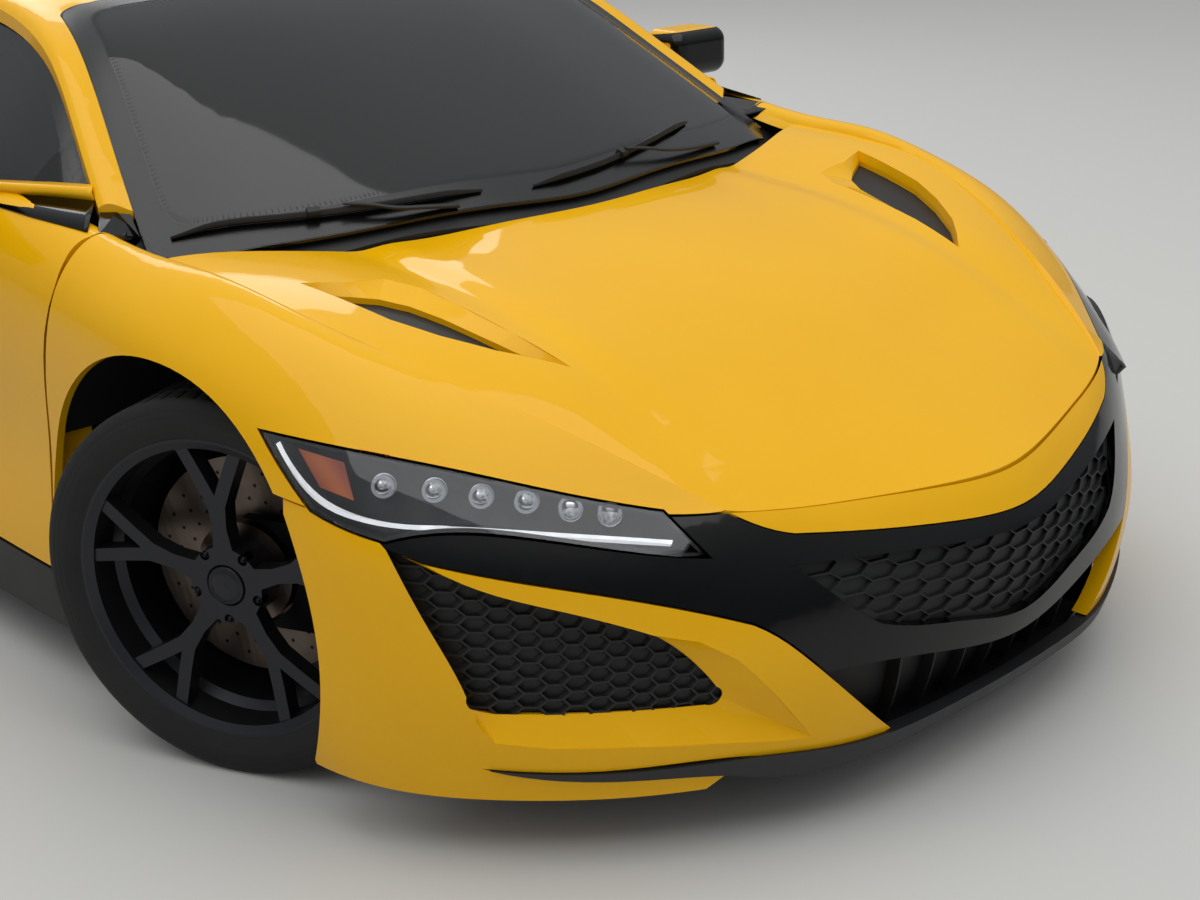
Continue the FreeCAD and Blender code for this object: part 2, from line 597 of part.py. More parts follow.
cowlPlanShares = (
    ((0, -0.2684), (0.206, -0.2641), (0.433, -0.2555), (0.619, -0.2428), (0.742, -0.2272)),
    ((0.742, -0.2272), (0.784, -0.206)),
    ((0.784, -0.206), (0.83, -0.1971)),
    ((0.83, -0.1971), (0.861, -0.196)),
    ((0.861, -0.196), (0.854, -0.2227), (0.83, -0.2461)),
    ((0.83, -0.2461), (0.619, -0.2624), (0.433, -0.2706), (0.221, -0.2806), (0, -0.286)),
)
doorGlassStationShares = (-0.1826, -0.1559, -0.1225, -0.0846, -0.0223, 0.0445, 0.1002)
quarterGlassStationShares = (0.088, 0.1225, 0.167, 0.2116, 0.2383)
sillShares = (
    ((-0.1933, 0.0922), (0.2227, 0.0922)),
    ((0.2227, 0.0922), (0.2227, 0.1901)),
    ((0.2227, 0.1901), (-0.1933, 0.1901)),
    ((-0.1933, 0.1901), (-0.1933, 0.0922)),
)
rearBumperShares = (
    ((0, 0.7984), (1.021, 0.7984)),
    ((1.021, 0.7984), (1.021, 0.1251)),
    ((1.021, 0.1251), (0.722, 0.1251)),
    ((0.722, 0.1251), (0.639, 0.2058), (0.603, 0.2757)),
    ((0.603, 0.2757), (0, 0.284)),
)
tailLampShares = (
    ((0, 0.7144), (0.515, 0.7111), (0.825, 0.6979)),
    ((0.825, 0.6979), (0.907, 0.6872)),
    ((0.907, 0.6872), (0.928, 0.6502)),
    ((0.928, 0.6502), (0.825, 0.6519)),
    ((0.825, 0.6519), (0.515, 0.6683), (0, 0.6749)),
)
rearVentShares = (
    ((0.34, 0.5103), (0.577, 0.5152), (0.825, 0.5267)),
    ((0.825, 0.5267), (0.876, 0.4444), (0.814, 0.3539)),
    ((0.814, 0.3539), (0.392, 0.3416)),
    ((0.392, 0.3416), (0.34, 0.5103)),
)
diffuserShares = (
    ((0, 0.284), (0.603, 0.2757)),
    ((0.603, 0.2757), (0.639, 0.2058), (0.722, 0.1251)),
    ((0.722, 0.1251), (0, 0.1251)),
)
hingeReliefShares = (
    (0.155, 0.1646), (0.154, 0.214), (0.149, 0.2881), (0.141, 0.3704), (0.131, 0.428),
    (0.121, 0.4856), (0.113, 0.5267), (0.104, 0.5597), (0.088, 0.6008), (0.075, 0.6255),
    (0.064, 0.6584), (0.056, 0.7078), (0.056, 0.7901),
)
frameMiddleShares = (
    (-0.722, 0.722, -0.1898, 0.098, 0.0947, 0.1111),
    (-0.495, 0.495, -0.3853, -0.1871, 0.0947, 0.1111),
    (-0.619, 0.619, -0.5011, -0.3808, 0.0947, 0.1111),
    (-0.557, 0.557, 0.0958, 0.4566, 0.1276, 0.144),
    (-0.495, 0.495, -0.2316, -0.2205, 0.0947, 0.6584),
    (-0.959, 0.959, -0.2316, -0.2183, 0.5267, 0.7078),
    (-0.99, 0.99, -0.3864, -0.3808, 0.1646, 0.5103),
    (-0.99, 0.99, 0.0947, 0.0991, 0.0947, 0.7901),
    (-0.99, 0.99, 0.4009, 0.4053, 0.1276, 0.7407),
)
frameSideShares = (
    (0.701, 0.979, -0.1898, 0.2127, 0.0947, 0.1852),
    (0.701, 0.74, -0.1898, -0.1795, 0.0947, 0.6914),
    (0.701, 0.866, -0.2316, -0.1795, 0.6321, 0.716),
    (0.737, 0.82, -0.1759, -0.1581, 0.0823, 0.0988),
    (0.737, 0.82, 0.1693, 0.1871, 0.0823, 0.0988),
    (0.557, 0.619, 0.0947, 0.0991, 0.7407, 0.9877),
    (0.485, 0.546, 0.0958, 0.4053, 0.1276, 0.214),
    (0.412, 0.495, -0.3853, -0.2205, 0.0947, 0.1893),
    (0.289, 0.32, -0.5011, -0.3831, 0.0947, 0.4609),
    (0.495, 0.536, 0.4009, 0.5011, 0.1276, 0.4609),
    (0.412, 0.495, -0.3007, -0.2606, 0.0947, 0.428),
    (0.485, 0.546, 0.2851, 0.3252, 0.1276, 0.4444),
)
spokeCount = 5
spokeShares = ((.20, .95), (.42, .62), (.58, .80), (.74, 1.60), (1.01, 3.05))
forkShares = ((.66, 0), (.78, .62), (1.03, 2.00), (1.03, -2.00), (.78, -.62))
tyreShares = ((.930, 0), (1, .420), (.900, .960))
pipeShares = (0.057, 0.155)
steeringSpokeAngles = (0, 180, 270)
engineShares = (
    (-0.278, 0.278, 0.1648, 0.2895, 0.1443, 0.5761),
    (-0.206, 0.206, 0.2873, 0.3786, 0.1443, 0.428),
)
dashShares = (
    (-0.701, 0.701, -0.1871, -0.1203, 0.4609, 0.6831),
    (-0.119, 0.119, -0.1381, 0.0668, 0.1114, 0.3457),
    (-0.119, 0.119, -0.1559, -0.1203, 0.3292, 0.4938),
)
wiperRightShares = (
    ((-0.722, -0.2238), (-0.433, -0.2494), (-0.103, -0.2595)),
    ((-0.103, -0.2595), (-0.103, -0.2628)),
    ((-0.103, -0.2628), (-0.433, -0.2528), (-0.722, -0.2272)),
    ((-0.722, -0.2272), (-0.722, -0.2238)),
)
wiperLeftShares = (
    ((-0.052, -0.2628), (0.206, -0.2561), (0.454, -0.2339)),
    ((0.454, -0.2339), (0.454, -0.2372)),
    ((0.454, -0.2372), (0.206, -0.2595), (-0.052, -0.2661)),
    ((-0.052, -0.2661), (-0.052, -0.2628)),
)
hexagonShares = ((1, 0), (0.5, 1), (-0.5, 1), (-1, 0), (-0.5, -1), (0.5, -1))
squareShares = ((1, 1), (-1, 1), (-1, -1), (1, -1))

parts = []
miterLimit = 0.3


def planPoint(share):
    return Vector(share[0] * halfWidth, share[1] * length, 0)


def frontPoint(share):
    return Vector(share[0] * halfWidth, 0, share[1] * height)


def sidePoint(share):
    return Vector(0, share[0] * length, share[1] * height)


def flip(point):
    return Vector(-point.x, point.y, point.z)


def edgeThrough(points):
    if len(points) == 2:
        return Part.makeLine(points[0], points[1])
    curve = Part.BSplineCurve()
    curve.interpolate(points)
    return curve.toShape()


def closedFace(runs):
    """A flat face inside runs of points, each run one edge."""
    return Part.Face(Part.Wire([edgeThrough(run) for run in runs]))


def doubledRuns(shares, pointOf):
    """An outline drawn for the left half, from the middle round to the middle, made whole."""
    left = [[pointOf(share) for share in run] for run in shares]
    right = [[flip(point) for point in reversed(run)] for run in reversed(left)]
    start = right[-1][:-1] + left[0]
    end = left[-1] + right[0][1:]
    return [start] + left[1:-1] + [end] + right[1:-1]


def sideRuns(shares, pointOf, side=1):
    runs = [[pointOf(share) for share in run] for run in shares]
    if side < 0:
        runs = [[flip(point) for point in run] for run in runs]
    return runs


def turnSum(runs, axis):
    """Twice the area inside the runs, above zero where they run left about the axis."""
    points = [point for run in runs for point in run[:-1]]
    following = points[1:] + points[:1]
    return sum(a.cross(b).dot(axis) for a, b in zip(points, following))


def outwardNormals(run, axis, turn):
    if len(run) == 2:
        tangents = [run[1] - run[0]] * 2
    else:
        curve = Part.BSplineCurve()
        curve.interpolate(run)
        tangents = [Vector(*curve.tangent(curve.parameter(point))[0]) for point in run]
    normals = [tangent.cross(axis) * turn for tangent in tangents]
    return [normal.normalize() for normal in normals]


def grownRuns(runs, axis, amount):
    """The outline moved outwards, or inwards below zero, with mitred corners."""
    if not amount:
        return runs
    turn = math.copysign(1, turnSum(runs, axis))
    normals = [outwardNormals(run, axis, turn) for run in runs]
    moved = []
    for index, run in enumerate(runs):
        before = normals[index - 1][-1]
        after = normals[(index + 1) % len(runs)][0]
        mine = normals[index]
        points = [point + normal * amount for point, normal in zip(run, mine)]
        points[0] = run[0] + (before + mine[0]) * (amount / max(1 + before.dot(mine[0]), miterLimit))
        points[-1] = run[-1] + (after + mine[-1]) * (amount / max(1 + after.dot(mine[-1]), miterLimit))
        moved.append(points)
    return moved


def planPrism(shares, growth=0, side=0):
    """The upright prism of an outline seen from above; side 0 is the whole width."""
    runs = sideRuns(shares, planPoint, side) if side else doubledRuns(shares, planPoint)
    face = closedFace(grownRuns(runs, Vector(0, 0, 1), growth))
    face.translate(Vector(0, 0, -overrun))
    return face.extrude(Vector(0, 0, height + 2 * overrun))


def frontPrism(shares, growth=0, side=0):
    """The prism of an outline seen from the front, through the front half of the body."""
    runs = sideRuns(shares, frontPoint, side) if side else doubledRuns(shares, frontPoint)
    face = closedFace(grownRuns(runs, Vector(0, 1, 0), growth))
    face.translate(Vector(0, -length / 2 - overrun, 0))
    return face.extrude(Vector(0, length / 2 + overrun, 0))


def rearPrism(shares, growth=0, side=0):
    """The prism of an outline seen from behind, through the rear half of the body."""
    prism = frontPrism(shares, growth, side)
    prism.translate(Vector(0, length / 2 + overrun, 0))
    return prism


def sidePrism(shares, side, growth=0):
    """The prism of an outline seen from the side, from the middle outwards."""
    face = closedFace(grownRuns(sideRuns(shares, sidePoint), Vector(1, 0, 0), growth))
    return face.extrude(Vector(side * (halfWidth + overrun), 0, 0))


def seenPrism(shares, side, direction, growth=0):
    """The prism of an outline lying on the body, drawn along a slanting direction."""
    along = Vector(side * direction[0], direction[1], direction[2])
    along.normalize()
    runs = [[place(share, side) for share in run] for run in shares]
    centre = runs[0][0]
    flat = [[point - along * (point - centre).dot(along) for point in run] for run in runs]
    face = closedFace(grownRuns(flat, along, growth))
    face.translate(along * -overrun)
    return face.extrude(along * 2 * overrun)


def meeting(face, point, along):
    """Where the line through a point along a direction meets a face from outside."""
    line = Part.Line(point, point + along)
    found = [Vector(p.X, p.Y, p.Z) for p in line.intersectCS(face.Surface)[0]]
    return min(found, key=lambda p: p.dot(along))


def slantBlock(face, top, floor, along, depth):
    """What a slanting recess takes out of a panel: one outline at the face, another at its floor."""
    onTop = [meeting(face, point, along) for point in top]
    onFloor = [meeting(face, point, along) + along * depth for point in floor]
    above = [point - along * length for point in top]
    below = [point + along * length for point in floor]
    rings = [Part.makePolygon(ring + ring[:1]) for ring in (above, onTop, onFloor, below)]
    return Part.makeLoft(rings, True, True)


def hexCells(outline, cellWidth, cellHeight):
    """Hexagonal prisms along the body, one for each cell with its middle inside an outline."""
    rib = size("mesh_rib") / 2
    halfCell = cellWidth / 2 - rib
    halfRise = cellHeight / 2 - rib
    pitch = cellWidth * 3 / 4
    box = outline.BoundBox
    cells = []
    for column in range(int(box.XLength / pitch) + 1):
        for row in range(int(box.ZLength / cellHeight) + 1):
            lift = cellHeight / 2 * (column % 2)
            centre = Vector(box.XMin + column * pitch, 0, box.ZMin + row * cellHeight + lift)
            if not outline.isInside(centre, seat, True):
                continue
            corners = [centre + Vector(halfCell * a, -length, halfRise * b) for a, b in hexagonShares]
            cells.append(Part.Face(Part.makePolygon(corners + corners[:1])).extrude(Vector(0, length, 0)))
    return cells


def slab(face, thickness, direction):
    """The face thickened straight along one direction."""
    along = Vector(*direction)
    along.normalize()
    return face.extrude(along * thickness)


def twins(shape):
    """A piece of the left side and its mirror image."""
    return [shape, shape.mirror(Vector(0, 0, 0), Vector(1, 0, 0))]


def farSlab(face, depth, direction):
    """All that lies outside a depth under a face, along a direction."""
    along = Vector(*direction).normalize()
    moved = face.copy()
    moved.translate(along * -overrun)
    return moved.extrude(along * (overrun + depth))


def shifted(shape, x=0, y=0, z=0):
    moved = shape.copy()
    moved.translate(Vector(x, y, z))
    return moved


def biggest(shape):
    """The main solid of a cut; what else a cut leaves are crumbs."""
    return max(shape.Solids, key=lambda solid: solid.Volume)


def biggestOf(shape, count):
    return sorted(shape.Solids, key=lambda solid: -solid.Volume)[:count]


def wheelCylinder(side, place, wheelHeight, radius, inner, outer):
    centre = Vector(side * inner, place, wheelHeight)
    return Part.makeCylinder(radius, outer - inner, centre, Vector(side, 0, 0))


def linerBlock(side, front, radiusMore, outer):
    """The round block over a wheel, out to its liner's surface."""
    end = "front" if front else "rear"
    radius = size(end + "_arch_radius") + size("liner_step") + radiusMore
    return wheelCylinder(side, size(end + "_axle_place"), size(end + "_tyre_radius"), radius,
                         size(end + "_liner_inner"), outer)


def acrossCylinder(start, end, centreY, centreZ, radius):
    return Part.makeCylinder(radius, end - start, Vector(start, centreY, centreZ), Vector(1, 0, 0))


def barrelHinge(side, near, far, centreY, centreZ):
    """Fixed knuckles with their pin, the moving knuckle between them, and the room each needs."""
    start, end = (near, far) if side > 0 else (-far, -near)
    third = (end - start) / 3
    radius = size("barrel_knuckle_radius")
    pin = size("barrel_pin_radius")
    play = size("swing_gap") / 2
    fixed = acrossCylinder(start, end, centreY, centreZ, pin)
    fixed = fixed.fuse([acrossCylinder(start, start + third - seat, centreY, centreZ, radius),
                        acrossCylinder(end - third + seat, end, centreY, centreZ, radius)])
    moving = acrossCylinder(start + third, end - third, centreY, centreZ, radius)
    bore = acrossCylinder(start, end, centreY, centreZ, pin + seat)
    room = acrossCylinder(start - play, end + play, centreY, centreZ, radius + play)
    return fixed, moving, bore, room


def addShape(label, shapes):
    """A piece of the document whose shape is one solid or a set of solids."""
    solids = [solid for shape in shapes for solid in shape.Solids]
    feature = doc.addObject("Part::Feature", label)
    feature.Label = label
    feature.Shape = solids[0] if len(solids) == 1 else Part.makeCompound(solids)
    parts.append(feature)
    return feature

# Skins that the panels are cut from

skin = size("skin")
seat = size("seat_gap")
diagonal = math.sqrt(0.5)
sideFaces = {side: sideFace(side) for side in sides}
nose = noseFace()
tail = tailFace()
hoodSkin = hoodFace()
canopy = canopyFace()
frontArches = {side: wheelCylinder(side, size("front_axle_place"), size("front_tyre_radius"),
                                   size("front_arch_radius"), halfWidth / 2, halfWidth + overrun)
               for side in sides}
rearArches = {side: wheelCylinder(side, size("rear_axle_place"), size("rear_tyre_radius"),
                                  size("rear_arch_radius"), halfWidth / 2, halfWidth + overrun)
              for side in sides}
lampDirection = (0.64, -0.70, 0.30)


def sideSlab(side, thickness):
    return slab(sideFaces[side], thickness * 2 * diagonal, (-side, 0, -1))


def halfSpace(side):
    """The block that holds one side of the car."""
    corner = Vector(0 if side > 0 else -halfWidth - overrun, -length, -overrun)
    return Part.makeBox(halfWidth + overrun, 2 * length, height + 2 * overrun, corner)


halves = {side: halfSpace(side) for side in sides}


def halfWrap(face, thickness, inward, side, start=0):
    """One side of a face that wraps round an end of the car, thickened towards the middle."""
    along = Vector(-side, inward, 0).normalize()
    moved = face.copy()
    moved.translate(along * start)
    return biggest(slab(moved, thickness, along).common(halves[side]))


def wrapSlab(face, thickness, inward, start=0):
    """Both sides of a face that wraps round an end of the car, thickened towards the middle."""
    pieces = [halfWrap(face, thickness, inward, side, start) for side in sides]
    return pieces[0].fuse(pieces[1]).removeSplitter()


# Hood

hoodPrism = planPrism(hoodPlanShares)
hoodClear = planPrism(hoodPlanShares, size("door_gap"))
hoodSlab = slab(hoodSkin, size("hood_skin"), (0, 0, -1))
hoodShape = biggest(hoodSlab.common(hoodPrism))
down = Vector(0, 0, -1)
padSlab = slab(shifted(hoodSkin, 0, 0, -size("hood_skin") / 2), size("hood_skin") / 2 + size("vent_ramp"), down)
for side in sides:
    pad = padSlab.common(planPrism(ventPadShares, size("vent_wall"), side))
    top = [planPoint((side * x, y)) for x, y in ventTopShares]
    floor = [planPoint((side * x, y)) for x, y in ventFloorShares]
    hoodShape = hoodShape.fuse(pad).cut(slantBlock(hoodSkin, top, floor, down, size("vent_ramp")))
hoodHinges = {}
for side in sides:
    place_ = (size("hood_hinge_place"), size("hood_hinge_height"))
    hoodHinges[side] = barrelHinge(side, size("hood_hinge_near"), size("hood_hinge_far"), *place_)
    fixed, moving, bore, room = hoodHinges[side]
    box = moving.BoundBox
    lug = Part.makeBox(box.XLength, size("hood_lug"), size("hood_lug_depth"),
                       Vector(box.XMin, place_[0] - size("hood_lug"), place_[1]))
    hoodShape = hoodShape.cut(room).fuse([moving, lug.cut(fixed)]).cut(bore)
addShape("hood", [biggest(hoodShape.removeSplitter())])

# Front fenders, between the hood, the lamps, the bumper and the doors

lampPrisms = {side: seenPrism(lampShares, side, lampDirection) for side in sides}
lampClear = {side: seenPrism(lampShares, side, lampDirection, gap) for side in sides}
fender = sideSlab(1, skin).common(sidePrism(fenderSideShares, 1, -gap / 2))
fender = fender.cut(hoodClear).cut(lampClear[1]).cut(frontArches[1])
addShape("front_fenders", twins(biggest(fender)))

# Front bumper: corners with the fangs, and the beak strip under the hood's edge

fasciaSkin = size("fascia_skin")
noseSlab = wrapSlab(nose, fasciaSkin, 1)
beak = noseSlab.common(frontPrism(beakShares)).cut(hoodClear)
corner = noseSlab.common(frontPrism(cornerShares, 0, 1))
corner = corner.cut(sidePrism(fenderSideShares, 1, gap / 2)).cut(lampClear[1]).cut(frontArches[1])
ledge = [[frontPoint(share) for share in shares] for shares in (ledgeTopShares, ledgeFloorShares)]
corner = corner.cut(slantBlock(nose, *ledge, Vector(0, 1, 0), size("ledge_depth")))
bumperPieces = [biggest(beak)] + twins(biggest(corner))
addShape("front_bumper", bumperPieces)

# Nose band in gloss black, with the middle grille's opening

bandBlock = frontPrism(noseBandShares, -gap / 2)
band = wrapSlab(nose, fasciaSkin * 0.8, 1).common(bandBlock)
for side in sides:
    band = band.cut(lampClear[side]).cut(sidePrism(fenderSideShares, side, gap / 2))
band = band.cut(frontPrism(grilleShares)).cut(hoodClear)
bandShape = biggest(band)
addShape("nose_band", [bandShape])

# Splitter blade under the fangs

splitter = wrapSlab(shifted(nose, 0, -8, 0), fasciaSkin, 1).common(frontPrism(splitterShares))
for corner in bumperPieces[1:]:
    splitter = splitter.cut(corner)
addShape("front_splitter", [biggest(splitter)])

# Windscreen, roof with its pillars, cowl

roofSkin = size("roof_skin")
glass = size("glass_thickness")
down = (0, 0, -1)
canopySlab = slab(canopy, roofSkin, down)
glassSlab = slab(canopy, glass, down)
screen = glassSlab.common(planPrism(screenPlanShares, -seat))
addShape("windscreen", [biggest(screen)])

hatchClear = planPrism(hatchPlanShares, size("swing_gap"))
roof = canopySlab.cut(planPrism(screenPlanShares)).cut(hatchClear)
for side in sides:
    roof = roof.cut(planPrism(pillarFootShares, 0, side))
hatchHinges = {}
for side in sides:
    hatchHinges[side] = barrelHinge(side, size("hatch_hinge_near"), size("hatch_hinge_far"),
                                    size("hatch_hinge_place"), size("hatch_hinge_height"))
    fixed, moving, bore, room = hatchHinges[side]
    middle = acrossCylinder(moving.BoundBox.XMin - seat, moving.BoundBox.XMax + seat, size("hatch_hinge_place"),
                            size("hatch_hinge_height"), size("hatch_lug"))
    roof = roof.cut(middle.common(room)).fuse(fixed)
roof = roof.removeSplitter()
addShape("roof_frame", [biggest(roof)])

cowlDrop = size("cowl_drop")
hoodKeep = farSlab(hoodSkin, size("hood_skin") + size("swing_gap"), down)
hoodKeep = hoodKeep.common(planPrism(hoodPlanShares, size("swing_gap")))
doorDepth = (size("door_thickness") + size("swing_gap")) * 2 * diagonal
doorKeep = {side: farSlab(sideFaces[side], doorDepth, (-side, 0, -1)).common(
    sidePrism(doorSideShares, side, size("swing_gap"))) for side in sides}
cowl = slab(shifted(canopy, 0, 0, -cowlDrop), size("cowl_thickness"), down).common(planPrism(cowlPlanShares))
cowl = cowl.cut(hoodKeep)
hoodFeet = {}
for side in sides:
    near, far = size("hood_hinge_near"), size("hood_hinge_far")
    start = near if side > 0 else -far
    axisY, axisZ = size("hood_hinge_place"), size("hood_hinge_height")
    drop, deep = size("hood_foot_drop"), size("hood_foot_depth")
    forward = size("barrel_knuckle_radius")
    foot = Part.makeBox(far - near, size("hood_foot_reach"), deep, Vector(start, axisY - forward, axisZ - drop - deep))
    third = (far - near) / 3
    for offset in (0, 2 * third + seat):
        foot = foot.fuse(Part.makeBox(third - seat, 2 * forward, drop, Vector(start + offset, axisY - forward, axisZ - drop)))
    hoodFeet[side] = foot.fuse(hoodHinges[side][0])
    room = Part.makeBox(far - near + 2 * seat, size("hood_foot_reach") + 2 * seat, 2 * deep,
                        Vector(start - seat, axisY - forward - seat, axisZ - drop - deep - seat))
    cowl = cowl.cut(room)
for side in sides:
    cowl = cowl.cut(doorKeep[side])
addShape("cowl_panel", [biggest(cowl)])

# Rear hatch: painted frame with its lid, and the long rear glass

hatch = slab(canopy, size("hatch_skin"), down).common(planPrism(hatchPlanShares))
hatch = hatch.cut(planPrism(hatchGlassShares))
for side in sides:
    fixed, moving, bore, room = hatchHinges[side]
    box = moving.BoundBox
    lug = Part.makeBox(box.XLength, size("hatch_lug"), size("hatch_lug_depth"),
                       Vector(box.XMin, size("hatch_hinge_place"), size("hatch_hinge_height") - size("hatch_lug_depth")))
    hatch = hatch.cut(room).fuse([moving, lug]).cut(bore)
addShape("hatch_frame", [biggest(hatch.removeSplitter())])
rearGlass = glassSlab.common(planPrism(hatchGlassShares, -seat))
addShape("hatch_glass", [biggest(rearGlass)])


# Doors with their glass, and the fixed quarters behind them

def between(table, station):
    """The row of a table at a station between its own, by straight steps."""
    for lower, upper in zip(table, table[1:]):
        if lower[0] <= station <= upper[0]:
            part = (station - lower[0]) / (upper[0] - lower[0])
            return [a + (b - a) * part for a, b in zip(lower, upper)]


def beltPoint(station, side):
    belts = [(shareY,) + section[0] for shareY, section in zip(sideStationShares, sideSectionShares)]
    row = between(belts, station)
    return place((row[1], station, row[2]), side)


def railPoint(station, side):
    row = between(canopyShares, station)
    point = place((row[2], station, row[3]), side)
    railWidth = size("rail_width")
    drop = railWidth / 3 + roofSkin + size("door_gap")
    return point + Vector(side * (railWidth - size("rail_lap")), 0, -drop)


glassParts = (0, 0.33, 0.67, 1)


def sideGlassFace(side, stations):
    rows = []
    for station in stations:
        low = beltPoint(station, side)
        high = railPoint(station, side)
        bow = Vector(side * size("glass_bow"), 0, 0)
        rows.append([low + (high - low) * part + bow * (4 * part * (1 - part)) for part in glassParts])
    return skinFace(rows)


doorSkin = size("door_thickness")


def revolved(shares, side):
    """A solid turned about the door's hinge axis from shares of radius and height."""
    axisPoint = Vector(side * size("hinge_reach"), size("hinge_place"), 0)
    outline = [axisPoint + Vector(radius * halfWidth, 0, tall * height) for radius, tall in shares]
    outline = [axisPoint + Vector(0, 0, outline[0].z)] + outline + [axisPoint + Vector(0, 0, outline[-1].z)]
    face = Part.Face(Part.makePolygon(outline + outline[:1]))
    return face.revolve(axisPoint, Vector(0, 0, 1), 360)


doorShrink = gap / 2 - size("door_gap")


def hingeArm(side):
    """The knuckle on the hinge pin and the arm to the door's front inner corner."""
    base = Vector(side * size("hinge_reach"), size("hinge_place"), size("hinge_height"))
    deep = size("hinge_arm_height")
    reach = size("hinge_arm_reach")
    wide = size("hinge_arm_width")
    knuckle = Part.makeCylinder(size("hinge_knuckle_radius"), deep, base)
    arm = Part.makeBox(reach, wide, deep, Vector(0, -wide / 2, 0))
    lean = size("hinge_arm_lean")
    arm.Placement = Placement(base, Rotation(Vector(0, 0, 1), lean if side > 0 else 180 - lean))
    bore = Part.makeCylinder(size("hinge_pin_radius") + seat, deep, base)
    return knuckle.fuse(arm).cut(bore)


roofClear = slab(shifted(canopy, 0, 0, gap), roofSkin + 2 * gap, down)
door = sideSlab(1, doorSkin).common(sidePrism(doorSideShares, 1, doorShrink))
doorShape = biggest(door.cut(revolved(hingeReliefShares, 1)))
window = slab(sideGlassFace(1, doorGlassStationShares), glass, (-1, 0, 0))
window = shifted(window.common(sidePrism(doorGlassShares, 1)).cut(doorShape), 0, 0, seat)
for name, doorSide, pane in zip(("left", "right"), twins(doorShape.fuse(hingeArm(1)).removeSplitter()),
                                twins(biggest(window))):
    addShape("door_" + name, [doorSide])
    addShape("door_glass_" + name, [pane])
quarter = sideSlab(1, skin).common(sidePrism(quarterSideShares, 1, -gap / 2))
quarter = quarter.cut(rearArches[1]).cut(sidePrism(sideIntakeShares, 1)).cut(roofClear)
addShape("quarter_panels", twins(biggest(quarter)))

depth = size("intake_depth")
duct = shifted(sideSlab(1, size("duct_wall")), -depth, 0, -depth).common(sidePrism(sideIntakeShares, 1, depth / 2))
pane = slab(sideGlassFace(1, quarterGlassStationShares), glass, (-1, 0, 0))
addShape("side_intakes", twins(biggest(duct)) + twins(biggest(shifted(pane, -depth / 2, 0, 0))))
intakeKeep = farSlab(sideFaces[1], (depth + size("duct_wall") + seat) * 2 * diagonal, (-1, 0, -1))
intakeKeep = intakeKeep.common(sidePrism(sideIntakeShares, 1, depth / 2 + seat))
paneKeep = slab(sideGlassFace(1, quarterGlassStationShares), overrun, (-1, 0, 0))
paneKeep = shifted(paneKeep, overrun - depth / 2 - glass - seat, 0, 0)

sill = sideSlab(1, skin).common(sidePrism(sillShares, 1)).cut(frontArches[1]).cut(rearArches[1])
addShape("side_sills", twins(biggest(sill)))

# Rear bumper, lamps and diffuser

hatchRear = planPrism(hatchPlanShares, size("hatch_rear_gap"))
tailSlab = wrapSlab(tail, fasciaSkin, -1)
bumper = tailSlab.common(rearPrism(rearBumperShares)).cut(rearPrism(tailLampShares)).cut(hatchRear)
for side in sides:
    bumper = bumper.cut(rearPrism(rearVentShares, 0, side))
    bumper = bumper.cut(sidePrism(quarterSideShares, side, gap / 2)).cut(rearArches[side])
addShape("rear_bumper", biggestOf(bumper, 2))
lampBand = wrapSlab(tail, fasciaSkin * 0.9, -1).common(rearPrism(tailLampShares, -seat))
for side in sides:
    lampBand = lampBand.cut(sidePrism(quarterSideShares, side, gap / 2))
addShape("tail_lamps", [biggest(lampBand)])
diffuser = wrapSlab(shifted(tail, 0, -size("diffuser_inset"), 0), fasciaSkin, -1)
diffuser = diffuser.common(rearPrism(diffuserShares, -gap / 2))
for along in pipeShares:
    for side in sides:
        start = Vector(side * along * halfWidth, size("pipe_start"), size("pipe_height"))
        diffuser = diffuser.cut(Part.makeCylinder(size("pipe_radius") + size("pipe_gap"), halfWidth, start, Vector(0, 1, 0)))
addShape("rear_diffuser", [biggest(diffuser)])

# Grilles: a sheet with a honeycomb before it, in the middle, the corners and the rear outlets


def clearOfCorner(shape):
    return shape.cut(bumperPieces[1]).cut(bandShape)


nested = shifted(nose, 0, size("mesh_depth"), 0)
ribDepth = size("mesh_rib_depth")
meshSkin = size("mesh_thickness")
openingBlock = frontPrism(grilleShares, -seat)
openingFace = closedFace(doubledRuns(grilleShares, frontPoint))
cells = hexCells(openingFace, size("grille_cell_width"), size("grille_cell_height"))
meshes = [biggest(wrapSlab(nested, ribDepth, 1).common(openingBlock).cut(cells)),
          biggest(wrapSlab(nested, meshSkin, 1, ribDepth + seat).common(openingBlock))]
nested = shifted(nose, 0, size("corner_mesh_depth"), 0)
intakeBlock = frontPrism(intakeShares, 0, 1)
cells = hexCells(closedFace(sideRuns(intakeShares, frontPoint)), size("corner_cell_width"),
                 size("corner_cell_height"))
honeycomb = clearOfCorner(halfWrap(nested, ribDepth, 1, 1).common(intakeBlock))
meshes += twins(biggest(biggest(honeycomb).cut(cells)))
backing = clearOfCorner(halfWrap(nested, meshSkin, 1, 1, ribDepth + seat).common(intakeBlock))
meshes += twins(biggest(backing))
rearMesh = wrapSlab(shifted(tail, 0, -size("mesh_depth"), 0), size("mesh_thickness"), -1)
meshes += twins(biggest(rearMesh.common(rearPrism(rearVentShares, -seat, 1))))
addShape("grille_meshes", meshes)

# Slot under the nose band: upright fins before a sheet

